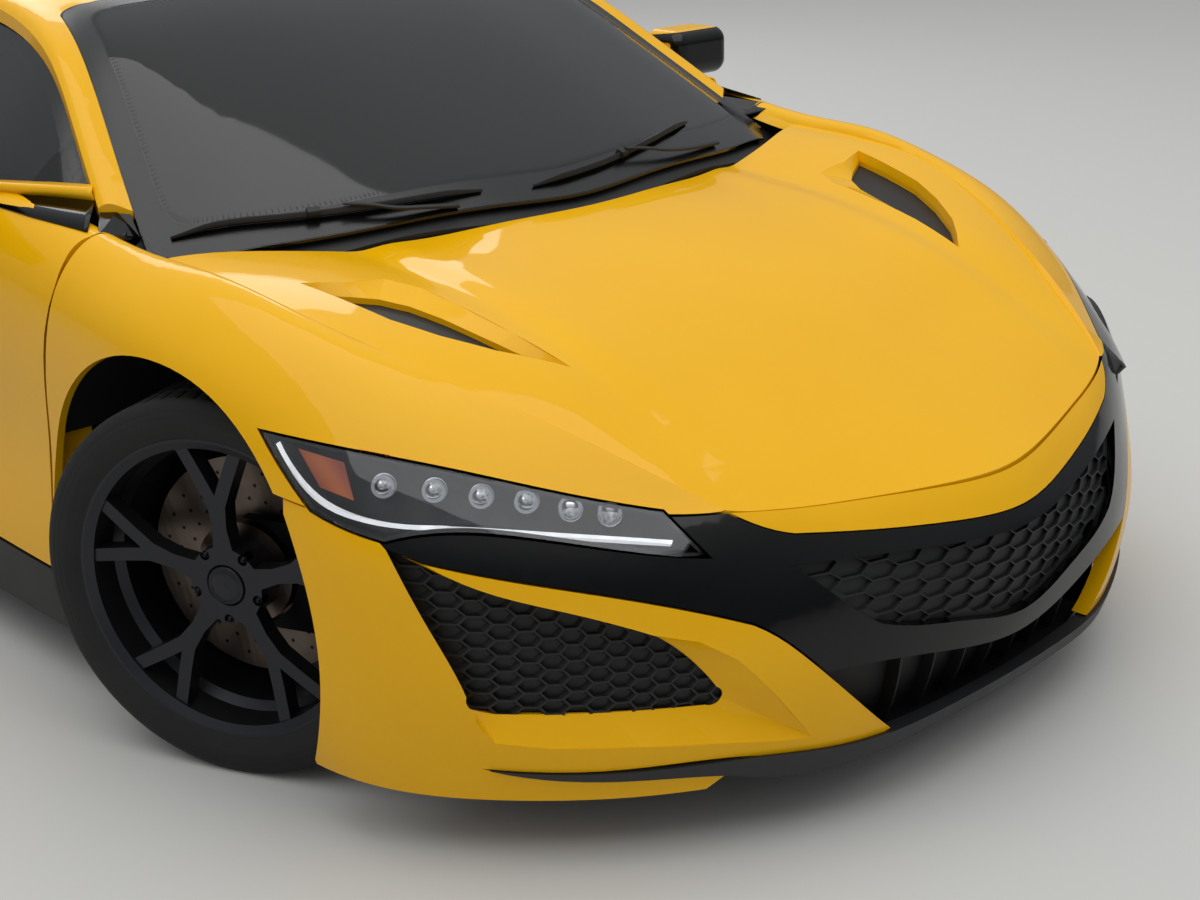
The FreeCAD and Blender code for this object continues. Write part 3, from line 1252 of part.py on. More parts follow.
slotBlock = frontPrism(slotShares)
finSlab = wrapSlab(shifted(nose, 0, size("slot_depth"), 0), size("slot_fin_depth"), 1).common(slotBlock)
fins = []
finCount = int(slotShares[1][0][0] * halfWidth / size("slot_pitch"))
for index in range(-finCount, finCount + 1):
    corner = Vector(index * size("slot_pitch") - size("slot_fin") / 2, -length, 0)
    fins.append(biggest(finSlab.common(Part.makeBox(size("slot_fin"), length, height, corner))))
slotBack = size("slot_fin_depth") + seat
fins.append(biggest(wrapSlab(shifted(nose, 0, size("slot_depth"), 0), meshSkin, 1, slotBack).common(slotBlock)))
addShape("slot_fins", fins)

ventMesh = []
for side in sides:
    drop = size("hood_skin") + size("vent_ramp") + seat
    mesh = slab(shifted(hoodSkin, 0, 0, -drop), size("mesh_thickness"), down)
    ventMesh.append(biggest(mesh.common(planPrism(ventPadShares, size("vent_lap"), side))))
addShape("hood_vents", ventMesh)

# Headlamps: clear lens, and the housing as a bowl behind it

lens = sideSlab(1, size("lens_thickness")).common(seenPrism(lampShares, 1, lampDirection))
addShape("headlamp_lenses", twins(biggest(lens)))
lensDrop = size("lens_thickness") + seat
bowlSlab = shifted(sideSlab(1, size("lamp_depth")), -lensDrop, 0, -lensDrop)
wall = size("duct_wall")
hollowSlab = sideSlab(1, size("lamp_depth") - wall)
bowl = bowlSlab.common(seenPrism(lampShares, 1, lampDirection))
bowl = bowl.cut(hollowSlab.common(seenPrism(lampShares, 1, lampDirection, -wall)))
bowl = bowl.cut(linerBlock(1, True, size("liner_thickness") + seat, halfWidth + overrun))
addShape("headlamp_housings", twins(biggest(bowl)))

# What shows inside the lamps: six lens units in a row, the light guide and the side reflector

inward = -Vector(*lampDirection).normalize()
units = []
for share in unitShares:
    front = place(share) + inward * size("lamp_unit_depth")
    radius = size("lamp_unit_radius")
    barrel = Part.makeCone(radius, radius / size("lamp_unit_taper"), size("lamp_unit_length"), front, inward)
    domeCentre = front + inward * radius * diagonal
    dome = Part.makeSphere(radius, domeCentre)
    units.append(biggest(barrel.fuse(dome).cut(bowl)))
addShape("headlamp_units", [piece for unit in units for piece in twins(unit)])
guidePoints = [place(share) + inward * size("guide_depth") for share in guideShares]
guideLine = Part.Wire([edgeThrough(guidePoints)])
across = (guidePoints[1] - guidePoints[0]).cross(inward).normalize() * size("guide_radius")
corners = [guidePoints[0] + across * a + inward * size("guide_radius") * b for a, b in squareShares]
ring = Part.makePolygon(corners + corners[:1])
guide = guideLine.makePipeShell([ring], True, True)
for unit in units:
    guide = guide.cut(unit)
addShape("headlamp_guides", twins(biggest(guide.cut(bowl))))
reflectorSlab = shifted(sideSlab(1, size("reflector_thickness")), -size("reflector_depth"), 0,
                        -size("reflector_depth"))
reflector = biggest(reflectorSlab.common(seenPrism(reflectorShares, 1, lampDirection)))
stem = Part.makeCylinder(size("reflector_stem"), size("lamp_depth"), reflector.CenterOfMass, inward)
stem = biggest(stem.cut(bowl))
addShape("headlamp_reflectors", twins(biggest(reflector.cut(bowl).fuse(stem))))

# Body frame: floor, beams, bulkheads and ribs, trimmed to the inside of the panels

def boxesOf(label, rows, twoSided):
    """Bound boxes from shares of place, each also mirrored where both sides have one."""
    boxes = []
    for row in rows:
        for side in sides if twoSided else sides[:1]:
            box = doc.addObject("Part::Box", label)
            startX = row[0] if side > 0 else -row[1]
            box.setExpression("Length", f"sizes.overall_width / 2 * {row[1] - row[0]:.6f}")
            box.setExpression("Width", f"sizes.overall_length * {row[3] - row[2]:.6f}")
            box.setExpression("Height", f"sizes.overall_height * {row[5] - row[4]:.6f}")
            box.setExpression("Placement.Base.x", f"sizes.overall_width / 2 * {startX:.6f}")
            box.setExpression("Placement.Base.y", f"sizes.overall_length * {row[2]:.6f}")
            box.setExpression("Placement.Base.z", f"sizes.overall_height * {row[4]:.6f}")
            boxes.append(box)
    return boxes


seatDepth = seat * diagonal
sideKeep = {side: farSlab(sideFaces[side], (skin + seatDepth) * 2 * diagonal, (-side, 0, -1)) for side in sides}
noseKeep = {side: farSlab(nose, fasciaSkin + seatDepth, (-side, 1, 0)).common(halves[side]) for side in sides}
tailKeep = {side: farSlab(tail, fasciaSkin + seatDepth, (-side, -1, 0)).common(halves[side]) for side in sides}
roofKeep = farSlab(canopy, roofSkin + seatDepth, down)
inset = size("diffuser_inset")
diffuserKeep = {side: farSlab(shifted(tail, 0, -inset, 0), fasciaSkin + seatDepth, (-side, -1, 0)).common(
    halves[side]).common(rearPrism(diffuserShares, gap)) for side in sides}
slotKeep = {side: farSlab(shifted(nose, 0, size("slot_depth"), 0), slotBack + meshSkin + seatDepth, (-side, 1, 0)).common(
    halves[side]).common(frontPrism(slotShares, gap)) for side in sides}
lampKeep = {}
for side in sides:
    depth = (size("lens_thickness") + size("lamp_depth") + seat + seatDepth) * 2 * diagonal
    lampKeep[side] = farSlab(sideFaces[side], depth, (-side, 0, -1)).common(
        seenPrism(lampShares, side, lampDirection, seatDepth))
liners = []
linerKeeps = []
lower = Part.makeBox(2 * length, 2 * length, height, Vector(-length, -length, size("liner_foot") - height))
for front in (True, False):
    shell = linerBlock(1, front, size("liner_thickness"), halfWidth).cut(linerBlock(1, front, 0, halfWidth))
    linerKeeps += twins(linerBlock(1, front, size("liner_thickness") + seat, halfWidth + overrun))
    for keep in (lower, sideKeep[1], doorKeep[1], hoodKeep, noseKeep[1], tailKeep[1], lampKeep[1]):
        shell = shell.cut(keep)
    liners += twins(biggest(shell))
addShape("arch_liners", liners)


def trimmed(shape, keeps):
    for keep in keeps:
        shape = shape.cut(keep)
    return shape


frameBoxes = boxesOf("frame_box", frameMiddleShares, False) + boxesOf("frame_box", frameSideShares, True)
doc.recompute()
frameRaw = frameBoxes[0].Shape.multiFuse([box.Shape for box in frameBoxes[1:]])
allKeeps = (sideKeep, noseKeep, tailKeep, doorKeep, lampKeep, diffuserKeep, slotKeep)
frameKeeps = [keeps[side] for keeps in allKeeps for side in sides]
frameKeeps += [roofKeep, hoodKeep] + linerKeeps + twins(intakeKeep) + twins(paneKeep)
frameShape = trimmed(frameRaw, frameKeeps)
for side in sides:
    base = Vector(side * size("hinge_reach"), size("hinge_place"), size("hinge_height"))
    deep = size("hinge_arm_height")
    foot = size("hinge_foot")
    pin = Part.makeCylinder(size("hinge_pin_radius"), deep + 2 * foot, base - Vector(0, 0, foot))
    swept = Part.makeCylinder(size("hinge_arm_reach") + size("swing_gap"), deep + 2 * size("hinge_play"),
                              base - Vector(0, 0, size("hinge_play")))
    frameShape = frameShape.cut(swept).fuse([pin, hoodFeet[side]])
frameShape = biggest(frameShape.removeSplitter())
addShape("body_frame", [frameShape])

# Wheels, brakes, knuckles and arms, each drawn round its own axle and then set in place

def turned(points):
    """A ring or hub turned about the wheel's axle from places along it and radii."""
    face = Part.Face(Part.makePolygon([Vector(x, radius, 0) for x, radius in points + points[:1]]))
    return face.revolve(Vector(0, 0, 0), Vector(1, 0, 0), 360)


def rimSection(half):
    rim = size("rim_radius")
    barrel = size("barrel_radius")
    wall = size("rim_wall")
    lip = size("rim_lip")
    well = size("rim_well")
    step = size("rim_step")
    return [(-half, rim), (lip - half, rim), (lip - half, barrel + wall), (-well - step, barrel + wall),
            (-well, barrel - step + wall), (well - step, barrel - step + wall), (well, barrel + wall),
            (half - lip, barrel + wall), (half - lip, rim), (half, rim), (half, rim - wall),
            (half - lip, barrel), (well, barrel), (well - step, barrel - step),
            (-well, barrel - step), (-well - step, barrel), (lip - half, barrel), (-half, rim - wall)]


def spokeOutline():
    """One forked spoke seen along the axle, from the hub's edge to the barrel."""
    points = [Vector(0, side * wide * size("spoke_width"), reach * size("barrel_radius"))
              for reach, wide, side in [(a, b, 1) for a, b in spokeShares] + [(a, b, -1) for a, b in spokeShares[::-1]]]
    notch = [Vector(0, wide * size("spoke_width"), reach * size("barrel_radius")) for reach, wide in forkShares]
    return Part.Face(Part.makePolygon(points + points[:1])).cut(Part.Face(Part.makePolygon(notch + notch[:1])))


def rimShape(half):
    hubFront = size("hub_front")
    hubBack = size("hub_back")
    dish = size("spoke_dish")
    depth = size("spoke_depth")
    shape = turned(rimSection(half))
    spoke = spokeOutline().extrude(Vector(half, 0, 0))
    face = half - size("spoke_setback")
    hub = size("hub_radius")
    barrel = size("barrel_radius")
    keep = turned([(hubBack, 0), (face - dish - depth, hub), (face - depth, barrel + size("rim_wall") / 2),
                   (face, barrel + size("rim_wall") / 2), (face - dish, hub), (hubFront, 0)])
    for number in range(spokeCount):
        arm = spoke.copy()
        arm.rotate(Vector(0, 0, 0), Vector(1, 0, 0), number * 360 / spokeCount)
        shape = shape.fuse(arm.common(keep))
    hubSolid = turned([(hubBack, 0), (hubBack, hub), (face - dish, hub), (face - dish, hub * 0.55), (hubFront, hub * 0.5),
                       (hubFront, 0)])
    shape = shape.fuse(hubSolid)
    bore = Part.makeCylinder(size("stub_radius") + seat, size("stub_length") + 2 * seat - hubBack,
                             Vector(hubBack - seat, 0, 0), Vector(1, 0, 0))
    shape = shape.cut(bore)
    for number in range(spokeCount):
        angle = math.radians((number + 0.5) * 360 / spokeCount)
        circle = size("bolt_circle_radius")
        centre = Vector(face - dish - size("bolt_depth"), circle * math.sin(angle), circle * math.cos(angle))
        shape = shape.cut(Part.makeCylinder(size("bolt_radius"), half, centre, Vector(1, 0, 0)))
    return biggest(shape.removeSplitter())


def tyreShape(half, radius):
    rim = size("rim_radius") + seat
    section = [(-half * inward, rim + (radius - rim) * up) for inward, up in tyreShares]
    return turned(section + [(-x, r) for x, r in reversed(section)])


def discShape():
    thick = size("disc_thickness")
    radius = size("disc_radius")
    bell = size("bell_radius")
    wall = size("bell_wall")
    inside = size("disc_inside")
    mount = size("hub_back") - seat
    bore = size("stub_radius") + seat
    return turned([(inside, bell - wall), (inside, radius), (inside + thick, radius), (inside + thick, bell),
                   (mount, bell), (mount, bore), (mount - wall, bore), (mount - wall, bell - wall)])


def knuckleShape(kingpin, postLow, postHigh):
    """Post, hub carrier, stub axle and the brake caliper behind the axle."""
    post = Part.makeCylinder(size("post_radius"), postHigh - postLow, Vector(-kingpin, 0, postLow))
    inside = size("disc_inside") - size("swing_gap")
    carrier = Part.makeCylinder(size("carrier_radius"), inside + kingpin, Vector(-kingpin, 0, 0), Vector(1, 0, 0))
    stub = Part.makeCylinder(size("stub_radius"), size("stub_length") + kingpin, Vector(-kingpin, 0, 0), Vector(1, 0, 0))
    outer = size("caliper_radius")
    caliperStart = inside - size("caliper_wall")
    caliperEnd = size("disc_inside") + size("disc_thickness") + size("swing_gap") + size("caliper_wall")
    body = turned([(caliperStart, 0), (caliperStart, outer), (caliperEnd, outer), (caliperEnd, 0)])
    pocket = turned([(inside, 0), (inside, size("disc_radius") + size("swing_gap")),
                     (caliperEnd - size("caliper_wall"), size("disc_radius") + size("swing_gap")),
                     (caliperEnd - size("caliper_wall"), 0)])
    innerWell = turned([(inside, 0), (inside, size("bell_radius") + size("swing_gap")),
                        (caliperEnd, size("bell_radius") + size("swing_gap")), (caliperEnd, 0)])
    tall = size("caliper_height")
    window = Part.makeBox(2 * outer, outer, tall, Vector(-outer, 0, -tall / 2))
    caliper = body.common(window).cut(pocket).cut(innerWell)
    return biggest(post.fuse([carrier, stub, caliper]).removeSplitter())


def setInPlace(shape, centre, side, turn=0):
    """Put a piece drawn round its axle onto the car, its outer face outwards."""
    placed = shape.copy()
    angle = turn + (0 if side > 0 else 180)
    placed.Placement = Placement(centre, Rotation(Vector(0, 0, 1), angle))
    return placed


inset = size("kingpin_inset")
steer = size("rest_steer")
frontRim = rimShape(size("front_rim_half_width"))
rearRim = rimShape(size("rear_rim_half_width"))
frontTyre = tyreShape(size("front_tyre_half_width"), size("front_tyre_radius"))
rearTyre = tyreShape(size("rear_tyre_half_width"), size("rear_tyre_radius"))
disc = discShape()
frontKnuckle = knuckleShape(inset, size("post_low"), size("post_high"))
rearKnuckle = knuckleShape(size("rear_inset"), size("post_low"), size("post_high"))
rearKnuckles = []
armSolids = []


def flatArm(side, corner, place, low, high, pivot):
    """A suspension arm from the frame to the post, ending in the post's socket."""
    wide = size("arm_width")
    arm = Part.makeBox(pivot - corner, wide, high - low, Vector(corner, place - wide / 2, low))
    socket = Part.makeCylinder(size("socket_radius"), high - low, Vector(pivot, place, low))
    whole = arm.fuse(socket).removeSplitter()
    return whole if side > 0 else whole.mirror(Vector(0, 0, 0), Vector(1, 0, 0))


for side in sides:
    name = "left" if side > 0 else "right"
    pivot = size("front_wheel_place") - inset
    kingpin = Vector(side * pivot, size("front_axle_place"), size("front_tyre_radius"))
    offset = Rotation(Vector(0, 0, 1), steer).multVec(Vector(side * inset, 0, 0))
    frontCentre = kingpin + offset
    rearCentre = Vector(side * size("rear_wheel_place"), size("rear_axle_place"), size("rear_tyre_radius"))
    addShape("rim_front_" + name, [setInPlace(frontRim, frontCentre, side, steer)])
    addShape("tyre_front_" + name, [setInPlace(frontTyre, frontCentre, side, steer)])
    addShape("brake_disc_front_" + name, [setInPlace(disc, frontCentre, side, steer)])
    addShape("knuckle_front_" + name, [setInPlace(frontKnuckle, frontCentre, side, steer)])
    addShape("rim_rear_" + name, [setInPlace(rearRim, rearCentre, side)])
    addShape("tyre_rear_" + name, [setInPlace(rearTyre, rearCentre, side)])
    addShape("brake_disc_rear_" + name, [setInPlace(disc, rearCentre, side)])
    rearKnuckles.append(setInPlace(rearKnuckle, rearCentre, side))
    thick = size("arm_thickness")
    for tyre, axle, edge, turn in (("front_tyre_radius", "front_axle_place", "front_arm_start", pivot),
                                   ("rear_tyre_radius", "rear_axle_place", "rear_arm_start",
                                    size("rear_wheel_place") - size("rear_inset"))):
        low = size(tyre) + size("post_low") - seat
        high = size(tyre) + size("post_high") + seat
        armSolids.append(flatArm(side, size(edge), size(axle), low - thick, low, turn))
        armSolids.append(flatArm(side, size(edge), size(axle), high, high + thick, turn))
addShape("rear_knuckles", rearKnuckles)
addShape("suspension_arms", armSolids)

# Engine, exhaust, seats, dashboard with console, steering wheel

engineBoxes = boxesOf("engine_box", engineShares, False)
doc.recompute()
engine = engineBoxes[0].Shape.multiFuse([box.Shape for box in engineBoxes[1:]])
addShape("engine_block", [engine.removeSplitter()])

pipes = []
for along in pipeShares:
    for side in sides:
        start = Vector(side * along * halfWidth, size("pipe_start"), size("pipe_height"))
        outer = Part.makeCylinder(size("pipe_radius"), size("pipe_length"), start, Vector(0, 1, 0))
        inner = Part.makeCylinder(size("pipe_radius") - size("pipe_wall"), size("pipe_length"),
                                  start + Vector(0, size("pipe_wall"), 0), Vector(0, 1, 0))
        pipes.append(outer.cut(inner))
addShape("exhaust_pipes", pipes)

seats = []
for side in sides:
    cushion = Part.makeBox(size("seat_width"), size("seat_length"), size("seat_height"))
    cushion = cushion.makeFillet(size("seat_round"), cushion.Edges)
    back = Part.makeBox(size("seat_width"), size("seat_back_depth"), size("seat_back_height"))
    back = back.makeFillet(size("seat_round"), back.Edges)
    leftEdge = side * size("seat_place") - size("seat_width") / 2
    cushion.Placement = Placement(Vector(leftEdge, size("seat_front"), size("seat_floor")), Rotation())
    back.Placement = Placement(Vector(leftEdge, size("seat_front") + size("seat_length") - size("seat_back_depth"),
                                      size("seat_floor") + size("seat_round")),
                               Rotation(Vector(1, 0, 0), -size("seat_lean")))
    seats.append(cushion.fuse(back).removeSplitter())
addShape("seats", seats)

dashBoxes = boxesOf("dash_box", dashShares, False)
doc.recompute()
dash = dashBoxes[0].Shape.multiFuse([box.Shape for box in dashBoxes[1:]])
dash = dash.cut(frameShape.copy())
for side in sides:
    dash = dash.cut(doorKeep[side])
columnAxis = Vector(0, math.cos(math.radians(size("column_lean"))), math.sin(math.radians(size("column_lean"))))
wheelCentre = Vector(size("steering_column_x"), size("steering_wheel_y"), size("steering_wheel_z"))
columnStart = wheelCentre - columnAxis * size("column_length")
columnEnd = columnStart + columnAxis * (size("column_length") - size("hub_depth") - seat)
column = Part.makeCylinder(size("column_radius"), (columnEnd - columnStart).Length, columnStart, columnAxis)
addShape("dashboard", [biggest(dash.fuse(column).removeSplitter())])

grip = Part.makeTorus(size("steering_wheel_radius"), size("steering_grip_radius"))
boss = Part.makeCylinder(size("column_radius"), size("hub_depth"), Vector(0, 0, -size("hub_depth")))
wheelShape = grip.fuse(boss)
for angle in steeringSpokeAngles:
    spoke = Part.makeBox(size("steering_wheel_radius"), size("steering_spoke_width"), size("steering_spoke_depth"),
                         Vector(0, -size("steering_spoke_width") / 2, -size("steering_spoke_depth")))
    spoke.rotate(Vector(0, 0, 0), Vector(0, 0, 1), angle)
    wheelShape = wheelShape.fuse(spoke)
wheelShape = biggest(wheelShape.removeSplitter())
wheelShape.Placement = Placement(wheelCentre, Rotation(Vector(0, 0, 1), columnAxis))
addShape("steering_wheel", [wheelShape])

# Mirrors on the doors, wipers on the windscreen

for side in sides:
    name = "left" if side > 0 else "right"
    halfSizes = Vector(size("mirror_half_width"), size("mirror_half_depth"), size("mirror_half_height"))
    head = Part.makeBox(*(halfSizes * 2), halfSizes * -1)
    faceY = size("mirror_half_depth")
    front = [edge for edge in head.Edges if edge.BoundBox.YMin < faceY - seat]
    head = head.makeFillet(size("mirror_round"), front)
    recess = size("mirror_recess")
    margin = size("mirror_rim")
    paneSize = (2 * halfSizes.x - 2 * margin, recess, 2 * halfSizes.z - 2 * margin)
    pocket = Part.makeBox(*paneSize, Vector(margin - halfSizes.x, faceY - recess, margin - halfSizes.z))
    pane = Part.makeBox(paneSize[0] - 2 * seat, recess / 2, paneSize[2] - 2 * seat,
                        Vector(margin + seat - halfSizes.x, faceY - recess + seat, margin + seat - halfSizes.z))
    centre = Vector(side * size("mirror_place"), size("mirror_along"), size("mirror_height"))
    arm = Part.makeBox(size("mirror_arm_length"), size("mirror_arm_width"), size("mirror_arm_depth"))
    armStart = size("mirror_place") - size("mirror_arm_length")
    armCorner = Vector(armStart if side > 0 else -size("mirror_place"), size("mirror_along") - size("mirror_arm_width") / 2,
                       size("mirror_arm_height"))
    arm.translate(armCorner)
    shellShape = shifted(head, *centre).fuse(arm).cut(shifted(pocket, *centre))
    shellShape = shellShape.cut(sideSlab(side, doorSkin + size("mirror_arm_length")))
    addShape("mirror_" + name, [biggest(shellShape)])
    addShape("mirror_glass_" + name, [shifted(pane, *centre)])

wiperSlab = slab(shifted(canopy, 0, 0, seat + size("wiper_thickness")), size("wiper_thickness"), down)
wipers = [biggest(wiperSlab.common(planPrism(shares, 0, 1))) for shares in (wiperRightShares, wiperLeftShares)]
addShape("wipers", wipers)

# Check and write every piece

doc.recompute()
for item in doc.Objects:
    if "Invalid" in item.State or "Error" in item.State:
        raise RuntimeError("not computed: " + item.Label)
for piece in parts:
    if piece.Shape.isNull() or not piece.Shape.isValid():
        raise RuntimeError("broken shape: " + piece.Label)
    piece.Shape.exportStep(f"parts/{piece.Label}.step")
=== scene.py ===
import math

import bmesh
import bpy
from mathutils import Matrix, Vector
from mathutils.bvhtree import BVHTree


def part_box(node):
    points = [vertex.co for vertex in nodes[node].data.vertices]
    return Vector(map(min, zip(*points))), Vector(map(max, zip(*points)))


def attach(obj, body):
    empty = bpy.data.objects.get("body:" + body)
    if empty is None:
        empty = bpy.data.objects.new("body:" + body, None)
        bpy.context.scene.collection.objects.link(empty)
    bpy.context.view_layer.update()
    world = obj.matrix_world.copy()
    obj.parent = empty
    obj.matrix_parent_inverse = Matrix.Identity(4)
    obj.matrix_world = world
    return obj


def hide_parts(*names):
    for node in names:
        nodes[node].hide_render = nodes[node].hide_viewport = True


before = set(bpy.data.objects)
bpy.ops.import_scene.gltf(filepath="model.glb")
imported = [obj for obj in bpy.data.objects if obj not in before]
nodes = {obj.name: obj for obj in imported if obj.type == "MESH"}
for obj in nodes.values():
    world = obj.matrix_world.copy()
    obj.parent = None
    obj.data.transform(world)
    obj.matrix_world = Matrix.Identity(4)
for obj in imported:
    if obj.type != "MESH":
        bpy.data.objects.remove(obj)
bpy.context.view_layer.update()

sides = {"left": 1, "right": -1}
mm = 0.001
print("car frame loaded with", len(nodes), "nodes")


# Materials: colours are sRGB hex codes, pattern scales come from real sizes in millimetres

def toLinear(hexCode):
    parts = [int(hexCode[i:i + 2], 16) / 255 for i in (1, 3, 5)]
    return [p / 12.92 if p <= 0.04045 else ((p + 0.055) / 1.055) ** 2.4 for p in parts] + [1]


def addNode(tree, kind, inputs=None, links=None, **settings):
    node = tree.nodes.new(kind)
    for name, value in settings.items():
        setattr(node, name, value)
    for name, value in (inputs or {}).items():
        if isinstance(value, bpy.types.NodeSocket):
            tree.links.new(value, node.inputs[name])
        else:
            node.inputs[name].default_value = value
    for output, target in (links or {}).items():
        tree.links.new(node.outputs[output], target)
    return node


def mixColours(tree, factor, low, high, target):
    # one colour shades into another by a pattern
    addNode(tree, "ShaderNodeMix", {"Factor": factor, 6: toLinear(low), 7: toLinear(high)}, {2: target},
            data_type="RGBA")


def startMaterial(name, hexCode, roughness, metallic=0.0, **shader):
    material = bpy.data.materials.new(name)
    material.use_nodes = True
    tree = material.node_tree
    surface = tree.nodes["Principled BSDF"]
    surface.inputs["Base Color"].default_value = toLinear(hexCode)
    surface.inputs["Roughness"].default_value = roughness
    surface.inputs["Metallic"].default_value = metallic
    for socket, value in shader.items():
        surface.inputs[socket.replace("_", " ")].default_value = value
    return material, tree, surface, addNode(tree, "ShaderNodeTexCoord").outputs["Object"]


def perMetre(millimetres):
    return 1000 / millimetres                                                # pattern repeats in a metre


enamelLook = {"base": "#EDAE00", "light": "#F3B700", "peel": 3.5}


def solidEnamel():
    # two-coat solid enamel, sprayed and lacquered: an even deep yellow under a wet mirror
    material, tree, surface, place = startMaterial("solid_enamel", enamelLook["base"], 0.42, Coat_Weight=0.55,
                                                   Coat_Roughness=0.03, Coat_IOR=1.45, Specular_IOR_Level=0.05)
    cloud = addNode(tree, "ShaderNodeTexNoise", {"Vector": place, "Scale": perMetre(350), "Detail": 3.0})
    mixColours(tree, cloud.outputs["Fac"], enamelLook["base"], enamelLook["light"], surface.inputs["Base Color"])
    peel = addNode(tree, "ShaderNodeTexNoise", {"Vector": place, "Scale": perMetre(enamelLook["peel"]), "Detail": 1.0})
    addNode(tree, "ShaderNodeBump", {"Height": peel.outputs["Fac"], "Strength": 0.03, "Distance": 0.4 * mm},
            {"Normal": surface.inputs["Coat Normal"]})                       # orange peel of the lacquer
    return material


def blackLacquer():
    # injection-moulded ABS under black lacquer: nearly no colour of its own, only reflections
    material, tree, surface, place = startMaterial("black_lacquer", "#040405", 0.09, Specular_IOR_Level=0.35)
    swirl = addNode(tree, "ShaderNodeTexNoise", {"Vector": place, "Scale": perMetre(70), "Detail": 4.0})
    addNode(tree, "ShaderNodeMapRange", {"Value": swirl.outputs["Fac"], "To Min": 0.05, "To Max": 0.14},
            {0: surface.inputs["Roughness"]})
    return material


def grainedPlastic(name, low, high, roughness, grain):
    # moulded polypropylene with a spark-eroded grain: dull black that scatters the light
    material, tree, surface, place = startMaterial(name, low, roughness)
    cells = addNode(tree, "ShaderNodeTexVoronoi", {"Vector": place, "Scale": perMetre(grain)})
    addNode(tree, "ShaderNodeBump", {"Height": cells.outputs["Distance"], "Strength": 0.3, "Distance": 0.5 * mm},
            {"Normal": surface.inputs["Normal"]})
    dust = addNode(tree, "ShaderNodeTexNoise", {"Vector": place, "Scale": perMetre(160), "Detail": 5.0})
    mixColours(tree, dust.outputs["Fac"], low, high, surface.inputs["Base Color"])
    addNode(tree, "ShaderNodeMapRange", {"Value": dust.outputs["Fac"], "To Min": roughness - 0.08,
                                         "To Max": roughness + 0.12}, {0: surface.inputs["Roughness"]})
    return material


def tintedGlass(name, tint, shade):
    # float glass, bent and tinted in the mass: dark inside, the sky mirrored outside
    material, tree, surface, place = startMaterial(name, tint, 0.02, IOR=1.52)
    clear = addNode(tree, "ShaderNodeBsdfTransparent", {"Color": toLinear(tint)})
    deep = addNode(tree, "ShaderNodeBsdfDiffuse", {"Color": toLinear("#06070A")})
    gloss = addNode(tree, "ShaderNodeBsdfGlossy", {"Color": [1, 1, 1, 1]})
    edge = addNode(tree, "ShaderNodeFresnel", {"IOR": 1.52})
    body = addNode(tree, "ShaderNodeMixShader", {0: shade, 1: clear.outputs[0], 2: deep.outputs[0]})
    addNode(tree, "ShaderNodeMixShader", {0: edge.outputs[0], 1: body.outputs[0], 2: gloss.outputs[0]},
            {0: tree.nodes["Material Output"].inputs["Surface"]})
    film = addNode(tree, "ShaderNodeTexNoise", {"Vector": place, "Scale": perMetre(180), "Detail": 4.0})
    addNode(tree, "ShaderNodeMapRange", {"Value": film.outputs["Fac"], "To Min": 0.01, "To Max": 0.05},
            {0: gloss.inputs["Roughness"]})                                  # road film
    return material


def clearPolycarbonate():
    # hard-coated polycarbonate cover: clear with a thin bright reflection
    material, tree, surface, place = startMaterial("clear_polycarbonate", "#F4F7FA", 0.02, IOR=1.58)
    clear = addNode(tree, "ShaderNodeBsdfTransparent", {"Color": toLinear("#FBFCFD")})
    gloss = addNode(tree, "ShaderNodeBsdfGlossy", {"Color": [1, 1, 1, 1]})
    edge = addNode(tree, "ShaderNodeFresnel", {"IOR": 1.42})
    addNode(tree, "ShaderNodeMixShader", {0: edge.outputs[0], 1: clear.outputs[0], 2: gloss.outputs[0]},
            {0: tree.nodes["Material Output"].inputs["Surface"]})
    ripple = addNode(tree, "ShaderNodeTexNoise", {"Vector": place, "Scale": perMetre(40), "Detail": 2.0})
    addNode(tree, "ShaderNodeMapRange", {"Value": ripple.outputs["Fac"], "To Min": 0.01, "To Max": 0.04},
            {0: gloss.inputs["Roughness"]})
    return material


def metalSkin(name, low, high, roughness, grain, depth=0.6, metallic=1.0):
    # cast, forged or milled metal: a fine uneven skin that breaks up the highlight
    material, tree, surface, place = startMaterial(name, low, roughness, metallic)
    skin = addNode(tree, "ShaderNodeTexNoise", {"Vector": place, "Scale": perMetre(grain), "Detail": 6.0,
                                                "Roughness": 0.7})
    addNode(tree, "ShaderNodeBump", {"Height": skin.outputs["Fac"], "Strength": 0.3, "Distance": depth * mm},
            {"Normal": surface.inputs["Normal"]})
    mixColours(tree, skin.outputs["Fac"], low, high, surface.inputs["Base Color"])
    addNode(tree, "ShaderNodeMapRange", {"Value": skin.outputs["Fac"], "To Min": roughness - 0.08,
                                         "To Max": roughness + 0.12}, {0: surface.inputs["Roughness"]})
    return material


def tyreRubber():
    # vulcanised rubber filled with carbon black: matt, greyed by road dust
    material, tree, surface, place = startMaterial("vulcanised_rubber", "#0A0A0B", 0.78)
    dust = addNode(tree, "ShaderNodeTexNoise", {"Vector": place, "Scale": perMetre(120), "Detail": 6.0})
    mixColours(tree, dust.outputs["Fac"], "#070708", "#1B1A19", surface.inputs["Base Color"])
    skin = addNode(tree, "ShaderNodeTexNoise", {"Vector": place, "Scale": perMetre(2.5), "Detail": 2.0})
    addNode(tree, "ShaderNodeBump", {"Height": skin.outputs["Fac"], "Strength": 0.3, "Distance": 0.4 * mm},
            {"Normal": surface.inputs["Normal"]})
    return material


